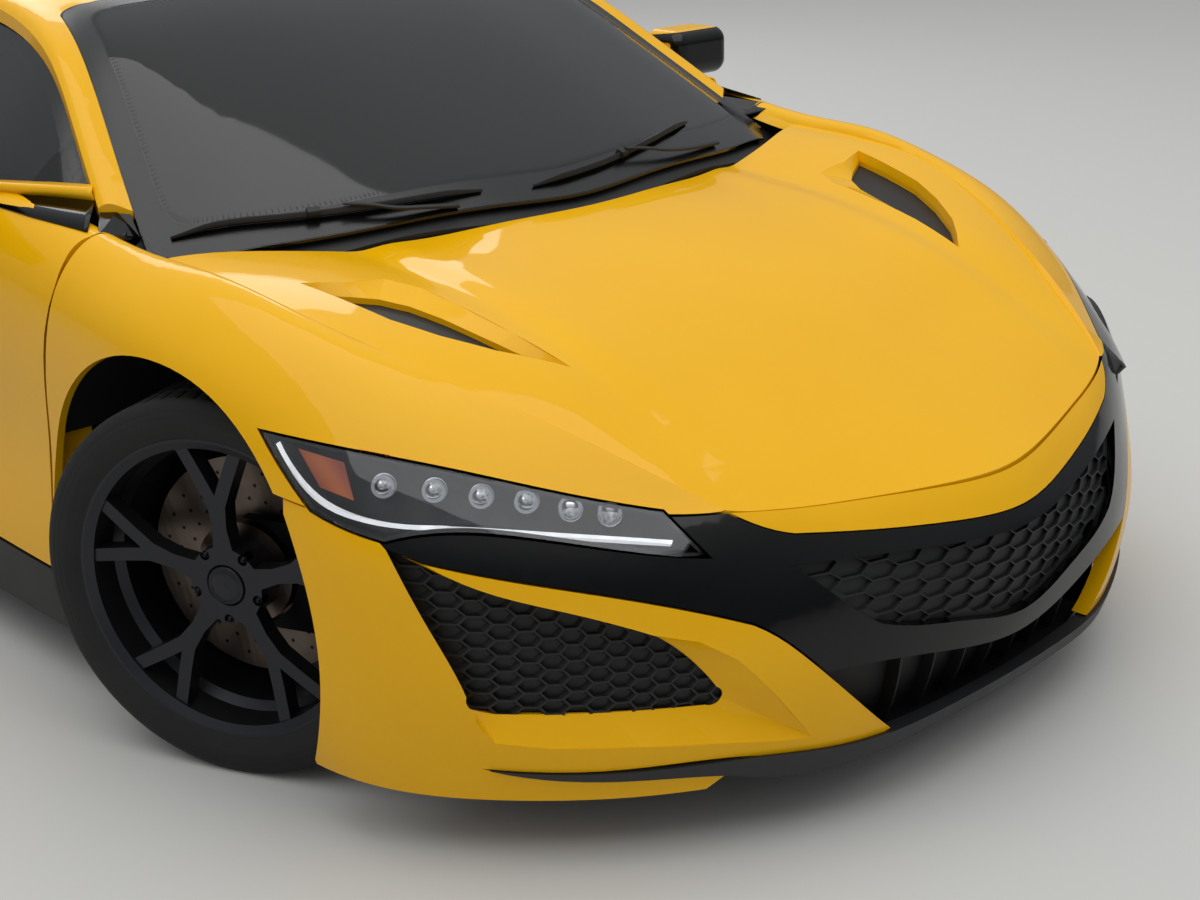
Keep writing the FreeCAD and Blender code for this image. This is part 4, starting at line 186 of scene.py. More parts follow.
def turnedIron():
    # grey cast iron, turned: fine rings round the hub under a brown film
    material, tree, surface, place = startMaterial("turned_iron", "#5A534C", 0.36, 1.0)
    rings = addNode(tree, "ShaderNodeTexWave", {"Vector": place, "Scale": perMetre(2.2) / 20, "Distortion": 0.6},
                    wave_type="RINGS", rings_direction="X")                  # turning marks 2.2 mm apart
    addNode(tree, "ShaderNodeBump", {"Height": rings.outputs["Fac"], "Strength": 0.4, "Distance": 0.2 * mm},
            {"Normal": surface.inputs["Normal"]})
    film = addNode(tree, "ShaderNodeTexNoise", {"Vector": place, "Scale": perMetre(60), "Detail": 5.0})
    mixColours(tree, film.outputs["Fac"], "#4A3B30", "#7A7068", surface.inputs["Base Color"])
    return material


def dyedLeather(name, low, high, pebble):
    # drum-dyed hide: pebbled grain with a soft sheen where it is stretched
    material, tree, surface, place = startMaterial(name, low, 0.5, Sheen_Weight=0.15)
    cells = addNode(tree, "ShaderNodeTexVoronoi", {"Vector": place, "Scale": perMetre(pebble)})
    addNode(tree, "ShaderNodeBump", {"Height": cells.outputs["Distance"], "Strength": 0.35, "Distance": 0.5 * mm},
            {"Normal": surface.inputs["Normal"]})
    wear = addNode(tree, "ShaderNodeTexNoise", {"Vector": place, "Scale": perMetre(90), "Detail": 5.0})
    mixColours(tree, wear.outputs["Fac"], low, high, surface.inputs["Base Color"])
    addNode(tree, "ShaderNodeMapRange", {"Value": wear.outputs["Fac"], "To Min": 0.4, "To Max": 0.64},
            {0: surface.inputs["Roughness"]})
    return material


def colouredAcrylic(name, low, high, prism, lit=0.0):
    # moulded acrylic with prisms behind a smooth face: deep colour in fine bands
    material, tree, surface, place = startMaterial(name, low, 0.08, Coat_Weight=0.8, Coat_Roughness=0.02)
    surface.inputs["Emission Color"].default_value = toLinear(high)
    surface.inputs["Emission Strength"].default_value = lit
    bands = addNode(tree, "ShaderNodeTexWave", {"Vector": place, "Scale": perMetre(prism) / 20})
    mixColours(tree, bands.outputs["Fac"], low, high, surface.inputs["Base Color"])
    return material


def silveredMirror():
    # silver behind glass: takes the colour of what it faces
    material, tree, surface, place = startMaterial("silvered_mirror", "#E4E8EC", 0.02, 1.0)
    film = addNode(tree, "ShaderNodeTexNoise", {"Vector": place, "Scale": perMetre(50)})
    addNode(tree, "ShaderNodeMapRange", {"Value": film.outputs["Fac"], "To Min": 0.01, "To Max": 0.05},
            {0: surface.inputs["Roughness"]})
    return material


def wovenCloth(name, low, high, thread):
    # woven cloth or sewing thread: short fibres that swallow the light
    material, tree, surface, place = startMaterial(name, low, 0.95, Sheen_Weight=0.3)
    threads = addNode(tree, "ShaderNodeTexNoise", {"Vector": place, "Scale": perMetre(thread), "Detail": 3.0})
    addNode(tree, "ShaderNodeBump", {"Height": threads.outputs["Fac"], "Strength": 0.7, "Distance": 1.5 * mm},
            {"Normal": surface.inputs["Normal"]})
    mixColours(tree, threads.outputs["Fac"], low, high, surface.inputs["Base Color"])
    return material


enamel = solidEnamel()
lacquer = blackLacquer()
blackPlastic = grainedPlastic("moulded_polypropylene", "#0C0D0E", "#151617", 0.55, 1.2)
greyPlastic = grainedPlastic("splitter_polypropylene", "#1A1B1D", "#26272A", 0.5, 1.6)
softPlastic = grainedPlastic("soft_touch_dash", "#131416", "#1D1E21", 0.68, 1.5)
darkGlass = tintedGlass("tinted_screen_glass", "#8A9094", 0.30)
sideGlass = tintedGlass("tinted_side_glass", "#7A8084", 0.40)
lensCover = clearPolycarbonate()
rimCoat = metalSkin("powder_coated_alloy", "#2A2B2E", "#3A3B3F", 0.34, 1.2, 0.1, 0.8)
rimEdge = metalSkin("machined_alloy", "#8F9195", "#A7A9AD", 0.22, 2.0, 0.1)
rubber = tyreRubber()
discIron = turnedIron()
castIron = metalSkin("painted_cast_iron", "#141517", "#1F2022", 0.5, 8.0)
sheetAlloy = metalSkin("mill_finish_alloy", "#232427", "#303236", 0.5, 14.0, 0.5, 0.6)
castAlloy = metalSkin("sand_cast_alloy", "#7E8084", "#96989B", 0.5, 6.0, 1.0)
exhaustSteel = metalSkin("polished_steel", "#AEB0B4", "#C6C8CC", 0.16, 25.0, 0.1)
lampChrome = metalSkin("vacuum_chrome", "#C9CCD0", "#E2E5E9", 0.12, 30.0, 0.05)
nutSteel = metalSkin("blackened_steel", "#1B1C1E", "#2B2C2F", 0.3, 5.0, 0.1)
hide = dyedLeather("dyed_leather", "#141416", "#1E1E21", 2.4)
trimHide = dyedLeather("grip_leather", "#0E0E10", "#17171A", 1.8)
redAcrylic = colouredAcrylic("red_acrylic", "#6E0207", "#98060C", 40)
amberAcrylic = colouredAcrylic("amber_acrylic", "#A63A02", "#D96A0C", 5)
guideAcrylic = colouredAcrylic("light_guide_acrylic", "#D9DCDF", "#F4F5F6", 4, 0.6)
mirrorSilver = silveredMirror()
thread = wovenCloth("seam_thread", "#2E2E31", "#47474B", 0.6)

finishes = {
    enamel: ["front_fenders", "front_bumper", "roof_frame", "quarter_panels", "rear_bumper", "hood", "hatch_frame",
             "door_left", "door_right", "mirror_left", "mirror_right"],
    lacquer: ["nose_band", "side_intakes"],
    greyPlastic: ["front_splitter", "rear_diffuser"],
    blackPlastic: ["cowl_panel", "side_sills", "grille_meshes", "slot_fins", "headlamp_housings", "arch_liners",
                   "wipers", "hood_vents"],
    softPlastic: ["dashboard"],
    trimHide: ["steering_wheel"],
    darkGlass: ["windscreen", "hatch_glass"],
    sideGlass: ["door_glass_left", "door_glass_right"],
    lensCover: ["headlamp_lenses"],
    lampChrome: ["headlamp_units"],
    guideAcrylic: ["headlamp_guides"],
    amberAcrylic: ["headlamp_reflectors"],
    redAcrylic: ["tail_lamps"],
    mirrorSilver: ["mirror_glass_left", "mirror_glass_right"],
    rimCoat: ["rim_front_left", "rim_front_right", "rim_rear_left", "rim_rear_right"],
    rubber: ["tyre_front_left", "tyre_front_right", "tyre_rear_left", "tyre_rear_right"],
    discIron: ["brake_disc_front_left", "brake_disc_front_right", "brake_disc_rear_left", "brake_disc_rear_right"],
    castIron: ["knuckle_front_left", "knuckle_front_right", "rear_knuckles", "suspension_arms"],
    sheetAlloy: ["body_frame"],
    castAlloy: ["engine_block"],
    exhaustSteel: ["exhaust_pipes"],
    hide: ["seats"],
}
for material, names in finishes.items():
    for name in names:
        nodes[name].data.materials.clear()
        nodes[name].data.materials.append(material)
print("car finishes set on the panels")


# Tools for the added pieces

def newPiece(name, vertices, faces, material, body, smooth=True):
    mesh = bpy.data.meshes.new(name)
    mesh.from_pydata([tuple(v) for v in vertices], [], faces)
    mesh.materials.append(material)
    for polygon in mesh.polygons:
        polygon.use_smooth = smooth
    mesh.update()
    piece = bpy.data.objects.new(name, mesh)
    bpy.context.scene.collection.objects.link(piece)
    if body:
        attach(piece, body)
    return piece


def treeOf(name):
    mesh = nodes[name].data
    matrix = nodes[name].matrix_world
    return BVHTree.FromPolygons([matrix @ v.co for v in mesh.vertices], [tuple(p.vertices) for p in mesh.polygons])


def gridFaces(rows, columns, closedRows=False, closedColumns=False):
    faces = []
    for row in range(rows if closedRows else rows - 1):
        for column in range(columns if closedColumns else columns - 1):
            below = (row + 1) % rows
            beside = (column + 1) % columns
            faces.append((row * columns + column, row * columns + beside,
                          below * columns + beside, below * columns + column))
    return faces


def lathe(profile, count, closed=False):
    vertices = []
    for step in range(count):
        angle = step * math.tau / count
        vertices += [Vector((along, radius * math.sin(angle), radius * math.cos(angle))) for along, radius in profile]
    return vertices, gridFaces(count, len(profile), True, closed)


def placed(vertices, matrix):
    return [matrix @ v for v in vertices]


def softenEdges(piece, width, segments=2):
    bevel = piece.modifiers.new("rounded_edges", "BEVEL")
    bevel.width = width
    bevel.segments = segments
    bevel.limit_method = "ANGLE"
    bevel.angle_limit = math.radians(40)


class Gather:
    # joins many small shapes into one mesh

    def __init__(self):
        self.vertices = []
        self.faces = []

    def take(self, vertices, faces):
        start = len(self.vertices)
        self.vertices += list(vertices)
        self.faces += [tuple(start + index for index in face) for face in faces]


def roundRod(points, radius, sidesCount=10):
    vertices = []
    for index, point in enumerate(points):
        ahead = points[min(index + 1, len(points) - 1)] - points[max(index - 1, 0)]
        ahead.normalize()
        across = ahead.cross(Vector((0.13, 0.21, 0.97))).normalized()
        up = across.cross(ahead)
        vertices += [point + (across * math.cos(turn) + up * math.sin(turn)) * radius
                     for turn in (k * math.tau / sidesCount for k in range(sidesCount))]
    faces = gridFaces(len(points), sidesCount, False, True)
    faces.append(tuple(range(sidesCount))[::-1])
    faces.append(tuple(range(len(vertices) - sidesCount, len(vertices))))
    return vertices, faces


def boxShape(low, high):
    corners = [Vector((x, y, z)) for x in (low[0], high[0]) for y in (low[1], high[1]) for z in (low[2], high[2])]
    return corners, [(0, 1, 3, 2), (4, 6, 7, 5), (0, 4, 5, 1), (2, 3, 7, 6), (0, 2, 6, 4), (1, 5, 7, 3)]


# Wheels: tyres with grooves and blocks, nuts, valves and bare caps

def wheelPlaces():
    steer = math.radians(24)
    found = {}
    for end, half, radius, along in (("front", 114, 327, -1.261), ("rear", 146, 345.5, 1.369)):
        for sideName, side in sides.items():
            turn = 0 if side > 0 else math.pi
            if end == "front":
                centre = Vector((side * (0.7485 + 0.075 * math.cos(steer)), along + side * 0.075 * math.sin(steer),
                                 radius * mm))
                turn += steer
            else:
                centre = Vector((side * 0.805, along, radius * mm))
            matrix = Matrix.Translation(centre) @ Matrix.Rotation(turn, 4, "Z")
            found[end + "_" + sideName] = (matrix, half, radius)
    return found


tyreLook = {"tread": 7.0, "groove": 9.0, "grooves": (-0.52, -0.18, 0.18, 0.52), "blocks": 68, "slit": 0.16,
            "rimRadius": 259.1}


def tyreProfile(half, radius):
    # from the inner bead over the tread to the outer bead: place along the axle, radius, and how deep a slit cuts
    rim = tyreLook["rimRadius"]
    tall = radius - rim
    wall = [(0.930, 0.0), (0.935, 0.10), (0.962, 0.16), (0.965, 0.22), (0.985, 0.30), (1.0, 0.42), (0.998, 0.50),
            (0.992, 0.53), (0.996, 0.56), (0.985, 0.66), (0.981, 0.67), (0.983, 0.70), (0.965, 0.80), (0.935, 0.90)]
    side = [(-half * a, rim + tall * b, 0) for a, b in wall]
    tread = [(-0.90, -0.004 * tall, 1), (-0.84, 0, 1)]
    for place in tyreLook["grooves"]:
        reach = tyreLook["groove"] / 2 / half
        slit = 1 if abs(place) > 0.4 else 0.5
        outerSlit = slit if place < 0 else 0.5
        innerSlit = 0.5 if place < 0 else slit
        tread += [(place - reach, 0, outerSlit), (place - reach * 0.7, -tyreLook["tread"], 0),
                  (place + reach * 0.7, -tyreLook["tread"], 0), (place + reach, 0, innerSlit)]
    tread += [(0.84, 0, 1), (0.90, -0.004 * tall, 1)]
    crown = [(half * a, rim + tall * 0.96 + b, c) for a, b, c in tread]
    return side + crown + [(-x, r, c) for x, r, c in reversed(side)]


def buildTyre(name, matrix, half, radius):
    profile = tyreProfile(half, radius)
    count = tyreLook["blocks"]
    angles = []
    for block in range(count):
        start = block * math.tau / count
        step = math.tau / count
        slit = tyreLook["slit"]
        angles += [(start, 0), (start + step * (1 - slit) / 2, 0), (start + step * (1 - slit), 0),
                   (start + step * (1 - slit * 0.8), 1), (start + step * (1 - slit * 0.2), 1)]
    vertices = []
    for angle, inSlit in angles:
        for x, r, cut in profile:
            lean = angle + (x / radius) * 0.22 * (1 if cut else 0)
            deep = r - (tyreLook["tread"] * 0.85 * cut if inSlit else 0)
            vertices.append(Vector((x, deep * math.sin(lean), deep * math.cos(lean))) * mm)
    faces = gridFaces(len(angles), len(profile), True, True)
    piece = newPiece("tread_" + name, placed(vertices, matrix), faces, rubber, "wheel_" + name)
    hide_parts("tyre_" + name)
    softenEdges(piece, 0.6 * mm, 1)
    return piece


hubLook = {"nutRadius": 7.8, "capRadius": 32.6, "valveRadius": 3.6}


def buildHubParts(name, matrix, half):
    hubFace = half - 12 - 16
    steel = Gather()
    for number in range(5):
        angle = (number + 0.5) * math.tau / 5
        centre = Vector((0, 60 * math.sin(angle), 60 * math.cos(angle)))
        rings = [(hubFace - 21.8, 1.0, 6), (hubFace - 4, 1.0, 6), (hubFace - 2.2, 0.88, 6), (hubFace - 2, 0.66, 0),
                 (hubFace + 0.5, 0.52, 0), (hubFace + 1.6, 0.30, 0)]
        vertices = []
        for x, share, flat in rings:
            for step in range(24):
                turn = step * math.tau / 24
                reach = hubLook["nutRadius"] * share
                if flat:
                    reach *= math.cos(math.pi / 6) / math.cos((turn % (math.pi / 3)) - math.pi / 6)
                vertices.append(centre + Vector((x, reach * math.sin(turn), reach * math.cos(turn))))
        faces = gridFaces(len(rings), 24, False, True)
        faces.append(tuple(range(len(vertices) - 24, len(vertices)))[::-1])
        steel.take([v * mm for v in vertices], faces)
    nuts = newPiece("wheel_nuts_" + name, placed(steel.vertices, matrix), steel.faces, nutSteel, "wheel_" + name)
    softenEdges(nuts, 0.5 * mm)
    cap = hubLook["capRadius"]
    profile = [(hubFace - 6, cap), (hubFace + 0.6, cap), (hubFace + 1.8, cap - 1.4), (hubFace + 1.8, cap - 3.2),
               (hubFace + 0.9, cap - 4.0), (hubFace + 0.9, cap - 5.0), (hubFace + 2.0, cap - 6.0),
               (hubFace + 3.0, cap - 14), (hubFace + 3.4, cap - 24), (hubFace + 3.5, 0.5)]
    vertices, faces = lathe([(x * mm, r * mm) for x, r in profile], 72)
    faces.append(tuple(range(len(profile) - 1, len(vertices), len(profile))))
    newPiece("wheel_cap_" + name, placed(vertices, matrix), faces, rimCoat, "wheel_" + name)
    turn = math.radians(36)
    away = Vector((0, math.sin(turn), math.cos(turn)))
    line = [Vector((half - x, 0, 0)) + away * r for x, r in ((34, 239), (31, 231), (26, 222), (20, 214))]
    vertices, faces = roundRod([p * mm for p in line], hubLook["valveRadius"] * mm, 14)
    newPiece("tyre_valve_" + name, placed(vertices, matrix), faces, rubber, "wheel_" + name)


def paintDiscHoleShade(name, matrix):
    # cross-drilled holes as flat dark discs on the swept faces: painted shade where the holes are
    marks = Gather()
    outside = (-35 + 32 + 0.15) * mm
    for ring, (radius, count, shift) in enumerate(((118, 24, 0), (142, 24, 0.33), (166, 24, 0.66))):
        for step in range(count):
            turn = (step + shift) * math.tau / count
            centre = Vector((outside, radius * mm * math.sin(turn), radius * mm * math.cos(turn)))
            vertices = [centre + Vector((0, math.sin(k * math.tau / 12), math.cos(k * math.tau / 12))) * 3.4 * mm
                        for k in range(12)]
            marks.take(vertices, [tuple(range(12))])
    newPiece("disc_hole_shade_" + name, placed(marks.vertices, matrix), marks.faces, nutSteel, "wheel_" + name)


for name, (matrix, half, radius) in wheelPlaces().items():
    buildTyre(name, matrix, 122.5 if "front" in name else 152.5, radius)
    buildHubParts(name, matrix, half)
    paintDiscHoleShade(name, matrix)
print("wheels dressed")

# Glass: black ceramic edges with their dots, laid on the panes

def paneEdge(tree, centre, along, across, sight, count=240, reach=1.6):
    # the outline of a pane seen along one direction, as distances from its middle at even angles
    start = centre - sight * 2
    outline = []
    for step in range(count):
        turn = step * math.tau / count
        way = along * math.cos(turn) + across * math.sin(turn)
        near = 0.0
        probe = 0.02
        while probe < reach:
            if tree.ray_cast(start + way * probe, sight, 4)[0]:
                near = probe
            probe += 0.02
        far = near + 0.02
        for halving in range(8):
            middle = (near + far) / 2
            if tree.ray_cast(start + way * middle, sight, 4)[0]:
                near = middle
            else:
                far = middle
        outline.append((near * math.cos(turn), near * math.sin(turn)))
    return outline


def insetOutline(outline, widthAt, smoothing):
    count = len(outline)
    moved = []
    for index, (a, b) in enumerate(outline):
        before = outline[(index - 2) % count]
        after = outline[(index + 2) % count]
        run = Vector((after[0] - before[0], after[1] - before[1])).normalized()
        width = widthAt(a, b)
        moved.append((a - run.y * width, b + run.x * width))
    for smoothingPass in range(smoothing):
        moved = [((moved[i - 1][0] + 2 * moved[i][0] + moved[(i + 1) % count][0]) / 4,
                  (moved[i - 1][1] + 2 * moved[i][1] + moved[(i + 1) % count][1]) / 4) for i in range(count)]
    return moved


def paneBand(name, node, centre, along, across, sight, widthAt, body, material, lift=0.5, smoothing=14, dots=True):
    tree = treeOf(node)
    outline = paneEdge(tree, centre, along, across, sight)
    outer = insetOutline(outline, lambda a, b: 1.5 * mm, 1)
    inner = insetOutline(outline, widthAt, smoothing)
    rows = 5
    vertices = []
    for (a, b), (c, d) in zip(outer, inner):
        for row in range(rows):
            share = row / (rows - 1)
            spot = centre + along * (a + (c - a) * share) + across * (b + (d - b) * share) - sight * 2
            hit, normal, index, distance = tree.ray_cast(spot, sight, 4)
            if hit is None:
                hit, normal, index, distance = tree.find_nearest(spot + sight * 2)
            if normal.dot(sight) > 0:
                normal = -normal
            vertices.append(hit + normal * lift * mm)
    newPiece(name, vertices, gridFaces(len(outline), rows, True, False), material, body)
    if dots:
        marks = Gather()
        for ring, (gap, radius) in enumerate(((5, 1.7), (9, 1.2), (12.5, 0.8))):
            fringe = insetOutline(inner, lambda a, b: gap * mm, 0)
            for index in range(len(fringe)):
                for share in (0.0, 0.5):
                    a = fringe[index][0] * (1 - share) + fringe[(index + 1) % len(fringe)][0] * share
                    b = fringe[index][1] * (1 - share) + fringe[(index + 1) % len(fringe)][1] * share
                    hit, normal, found, distance = tree.ray_cast(centre + along * a + across * b - sight * 2, sight, 4)
                    if hit is None:
                        continue
                    if normal.dot(sight) > 0:
                        normal = -normal
                    first = normal.cross(Vector((0.3, 0.9, 0.1))).normalized()
                    second = normal.cross(first)
                    marks.take([hit + normal * lift * mm + (first * math.cos(k * math.tau / 8) +
                                second * math.sin(k * math.tau / 8)) * radius * mm for k in range(8)],
                               [tuple(range(8))])
        newPiece(name + "_dots", marks.vertices, marks.faces, material, body, False)


ceramicFrit = grainedPlastic("fired_ceramic_enamel", "#060607", "#0B0B0C", 0.22, 3.0)
xAxis, yAxis, zAxis = Vector((1, 0, 0)), Vector((0, 1, 0)), Vector((0, 0, 1))
screenBand = {"foot": 62, "side": 46, "top": 44}
low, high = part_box("windscreen")
screenMiddle = Vector((0, (low[1] + high[1]) / 2 - 0.05, 0))


def screenWidth(a, b):
    if b < -0.12:
        return screenBand["foot"] * mm
    return (screenBand["top"] if b > 0.35 else screenBand["side"]) * mm


paneBand("windscreen_frit", "windscreen", screenMiddle, xAxis, yAxis, -zAxis, screenWidth, "body", ceramicFrit)
low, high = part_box("hatch_glass")
paneBand("hatch_frit", "hatch_glass", Vector((0, (low[1] + high[1]) / 2, 0)), xAxis, yAxis, -zAxis,
         lambda a, b: 38 * mm, "hatch", ceramicFrit, smoothing=6)
for sideName, side in sides.items():
    low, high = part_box("door_glass_" + sideName)
    paneBand("door_glass_edge_" + sideName, "door_glass_" + sideName,
             Vector((0, (low[1] + high[1]) / 2, (low[2] + high[2]) / 2)), yAxis * side, zAxis, -xAxis * side,
             lambda a, b: 16 * mm, "door_" + sideName, ceramicFrit, smoothing=2, dots=False)
print("glass edges laid")

# Wipers: spoiler blade with its lip, clamp and arm, lying on the windscreen

wiperLook = {
    "right": {"path": ((-0.735, -0.995), (-0.62, -1.062), (-0.48, -1.120), (-0.34, -1.160), (-0.20, -1.182)),
              "clamp": 0.42, "arm": ((-0.47, -1.130, 25), (-0.43, -1.150, 24), (-0.39, -1.172, 17),
                                     (-0.33, -1.188, 12), (-0.27, -1.200, 6))},
    "left": {"path": ((-0.09, -1.200), (0.04, -1.196), (0.18, -1.172), (0.32, -1.132), (0.45, -1.080)),
             "clamp": 0.48, "arm": ((0.17, -1.183, 25), (0.22, -1.186, 24), (0.28, -1.190, 17),
                                    (0.38, -1.176, 12), (0.47, -1.150, 8))}}
bladeSection = ((-0.6, 1), (-0.6, 6), (-5, 8), (-7, 10), (-5.5, 12), (-2, 17), (0, 18), (1.5, 15), (4, 11), (6.5, 9),
                (5, 8), (0.6, 6), (0.6, 1))


def smoothPath(points, count):
    curve = bpy.data.curves.new("path", "CURVE")
    curve.dimensions = "3D"
    spline = curve.splines.new("NURBS")
    spline.points.add(len(points) - 1)
    for point, place in zip(spline.points, points):
        point.co = (*place, 1)
    spline.order_u = 3
    spline.use_endpoint_u = True
    curve.resolution_u = count
    carrier = bpy.data.objects.new("path", curve)
    mesh = bpy.data.meshes.new_from_object(carrier)
    found = [v.co.copy() for v in mesh.vertices]
    bpy.data.objects.remove(carrier)
    bpy.data.curves.remove(curve)
    bpy.data.meshes.remove(mesh)
    return found


def dropTo(tree, x, y):
    hit, normal, index, distance = tree.ray_cast(Vector((x, y, 3)), -zAxis, 6)
    if hit is None:
        hit, normal, index, distance = tree.find_nearest(Vector((x, y, 0.8)))
    return hit, normal if normal.z > 0 else -normal


def sweptStrip(path, normals, section, scaleAt):
    vertices = []
    for index, point in enumerate(path):
        ahead = (path[min(index + 1, len(path) - 1)] - path[max(index - 1, 0)]).normalized()
        up = normals[index]
        across = up.cross(ahead).normalized()
        scale = scaleAt(index / (len(path) - 1))
        vertices += [point + (across * a * scale + up * b * scale) * mm for a, b in section]
    count = len(section)
    faces = gridFaces(len(path), count, False, True)
    faces.append(tuple(range(count))[::-1])
    faces.append(tuple(range(len(vertices) - count, len(vertices))))
    return vertices, faces


screenTree = treeOf("windscreen")
wiperParts = Gather()
for look in wiperLook.values():
    path = [Vector((x, y, 0)) for x, y in look["path"]]
    dropped = [dropTo(screenTree, p.x, p.y) for p in smoothPath(path, 10)]
    line = [spot for spot, normal in dropped]
    normals = [normal for spot, normal in dropped]
    wiperParts.take(*sweptStrip(line, normals, bladeSection, lambda t: min(1, 0.45 + 6 * t, 0.45 + 6 * (1 - t))))
    middle = int(look["clamp"] * (len(line) - 1))
    clampLine = line[middle - 1:middle + 2]
    block = ((-9, 8), (-9, 17), (-6, 21), (6, 21), (9, 17), (9, 8))
    wiperParts.take(*sweptStrip(clampLine, normals[middle - 1:middle + 2], block, lambda t: 1))
    armPoints = [dropTo(screenTree, x, y)[0] + zAxis * lift * mm for x, y, lift in look["arm"]]
    arm = smoothPath(armPoints, 8)
    wiperParts.take(*sweptStrip(arm, [zAxis] * len(arm), ((-4, -2), (-4.5, 1), (0, 3.5), (4.5, 1), (4, -2)),
                                  lambda t: 1 + 0.5 * t))
wiperPiece = newPiece("wiper_blades", wiperParts.vertices, wiperParts.faces, blackPlastic, "body")
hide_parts("wipers")
softenEdges(wiperPiece, 0.8 * mm)


# Headlamps: a glass lens in each unit with its bright ring

def islandsOf(name):
    mesh = bmesh.new()
    mesh.from_mesh(nodes[name].data)
    bmesh.ops.remove_doubles(mesh, verts=mesh.verts, dist=0.00001)
    mesh.verts.index_update()
    seen = set()
    found = []
    for first in mesh.verts:                                                 # in index order, the same each run
        if first.index in seen:
            continue
        seen.add(first.index)
        group = [first.co.copy()]
        front = [first]
        while front:
            vertex = front.pop()
            for edge in vertex.link_edges:
                other = edge.other_vert(vertex)
                if other.index not in seen:
                    seen.add(other.index)
                    group.append(other.co.copy())
                    front.append(other)
        found.append(group)
    mesh.free()
    return found


lampOptic = startMaterial("lamp_lens_painted_glints", "#DDE6EE", 0.03, 0.0, IOR=1.5, Coat_Weight=1.0, Coat_Roughness=0.01)
paintedGlintCells = addNode(lampOptic[1], "ShaderNodeTexVoronoi", {"Vector": lampOptic[3], "Scale": perMetre(6)})
mixColours(lampOptic[1], paintedGlintCells.outputs["Distance"], "#5C6066", "#F6F8FA",
           lampOptic[2].inputs["Base Color"])                                # facets of the reflector behind the glass, painted as grey and white cells: the white cells are painted glints
lampLook = {"sight": (-0.55, 0.75, -0.36), "lens": ((0.0, 0.2), (1.2, 5), (3.4, 9.5), (7.0, 13.0), (12.0, 15.0)),
            "ring": ((12.5, 15.2), (9.5, 15.8), (8.0, 17.2), (9.5, 18.6), (14.0, 19.0))}
optics = Gather()
ringsGather = Gather()
for group in islandsOf("headlamp_units"):
    middle = sum(group, Vector()) / len(group)
    side = 1 if middle.x > 0 else -1
    sight = Vector((side * lampLook["sight"][0], lampLook["sight"][1], lampLook["sight"][2])).normalized()
    front = min(point.dot(sight) for point in group)
    centre = middle + sight * (front - middle.dot(sight))
    first = sight.cross(zAxis).normalized()
    second = sight.cross(first)
    profile = lampLook["lens"]
    vertices = []
    for deep, radius in profile:
        vertices += [centre + sight * (deep - 0.6) * mm + (first * math.cos(k * math.tau / 28) +
                     second * math.sin(k * math.tau / 28)) * radius * mm for k in range(28)]
    optics.take(vertices, gridFaces(len(profile), 28, False, True) + [tuple(range(28))[::-1]])
    rim = []
    for deep, radius in lampLook["ring"]:
        rim += [centre + sight * deep * mm + (first * math.cos(k * math.tau / 32) +
                second * math.sin(k * math.tau / 32)) * radius * mm for k in range(32)]
    ringsGather.take(rim, gridFaces(5, 32, False, True))
newPiece("lamp_unit_lenses", optics.vertices, optics.faces, lampOptic[0], "body")
newPiece("lamp_unit_rings", ringsGather.vertices, ringsGather.faces, lampChrome, "body")
print("wipers and headlamps dressed")

# Body corners at the pillars: frame block under the panels, cowl corner, sail panel, mirror foot and base

def joinedTree(*names):
    vertices = []
    faces = []
    for name in names:
        start = len(vertices)
        mesh = nodes[name].data
        vertices += [v.co.copy() for v in mesh.vertices]
        faces += [tuple(start + i for i in p.vertices) for p in mesh.polygons]
    return BVHTree.FromPolygons(vertices, faces)


outerTree = joinedTree("front_fenders", "hood", "cowl_panel", "roof_frame", "door_left", "door_right", "windscreen")
frameMesh = nodes["body_frame"].data
frameVertices = []
for vertex in frameMesh.vertices:
    spot = vertex.co.copy()
    if abs(spot.x) > 0.70 and -1.10 < spot.y < -0.78 and spot.z > 0.76:
        hit, normal, index, distance = outerTree.ray_cast(Vector((spot.x, spot.y, 1.6)), -zAxis, 3)
        if hit is None:
            hit = outerTree.find_nearest(spot)[0]
        spot.z = min(spot.z, hit.z - 0.008)                                  # the block stays under the panels
    frameVertices.append(spot)
frameCopy = newPiece("frame_casting", frameVertices, [tuple(p.vertices) for p in frameMesh.polygons], sheetAlloy,
                     "body", False)
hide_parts("body_frame")

cornerLook = {
    "cowl": ((0.7840, -0.8500, 0.8600), (0.7700, -0.8900, 0.8540), (0.7554, -0.9085, 0.8500), (0.7640, -0.9470, 0.8150),
             (0.8228, -0.9830, 0.8290), (0.8450, -0.9500, 0.8370)),
    "bladeTop": ((0.8420, -0.5960, 0.8790), (0.8150, -0.6900, 0.8850), (0.7960, -0.7600, 0.8885),
                 (0.7800, -0.8340, 0.8925)),
    "bladeMiddle": ((0.8900, -0.6150, 0.8830), (0.8480, -0.7150, 0.8840), (0.8180, -0.7850, 0.8850),
                    (0.7930, -0.8480, 0.8860)),
    "bladeFoot": ((0.8850, -0.6150, 0.8680), (0.8440, -0.7150, 0.8700), (0.8140, -0.7850, 0.8705),
                  (0.7930, -0.8560, 0.8710)),
    "blackFoot": ((0.9000, -0.6150, 0.8560), (0.8900, -0.7300, 0.8540), (0.8800, -0.8200, 0.8480),
                  (0.8560, -0.9350, 0.8400)),
    "mirrorSplit": 0.882, "mirrorSlope": 0.12, "mirrorInner": 0.925, "mirrorMiddle": (1.016, -0.560, 0.900),
    "mirrorStep": 1.5,
}


def mirrored(points, side):
    return [Vector((side * x, y, z)) for x, y, z in points]


def strip(name, rails, side, material, body, count=10, depth=4.0):
    lines = [smoothPath(mirrored(rail, side), count) for rail in rails]
    vertices = [line[index] for index in range(len(lines[0])) for line in lines]
    faces = gridFaces(len(lines[0]), len(lines))
    if side < 0:
        faces = [face[::-1] for face in faces]
    piece = newPiece(name, vertices, faces, material, body)
    skin = piece.modifiers.new("thickness", "SOLIDIFY")
    skin.thickness = depth * mm
    skin.offset = 0
    return piece


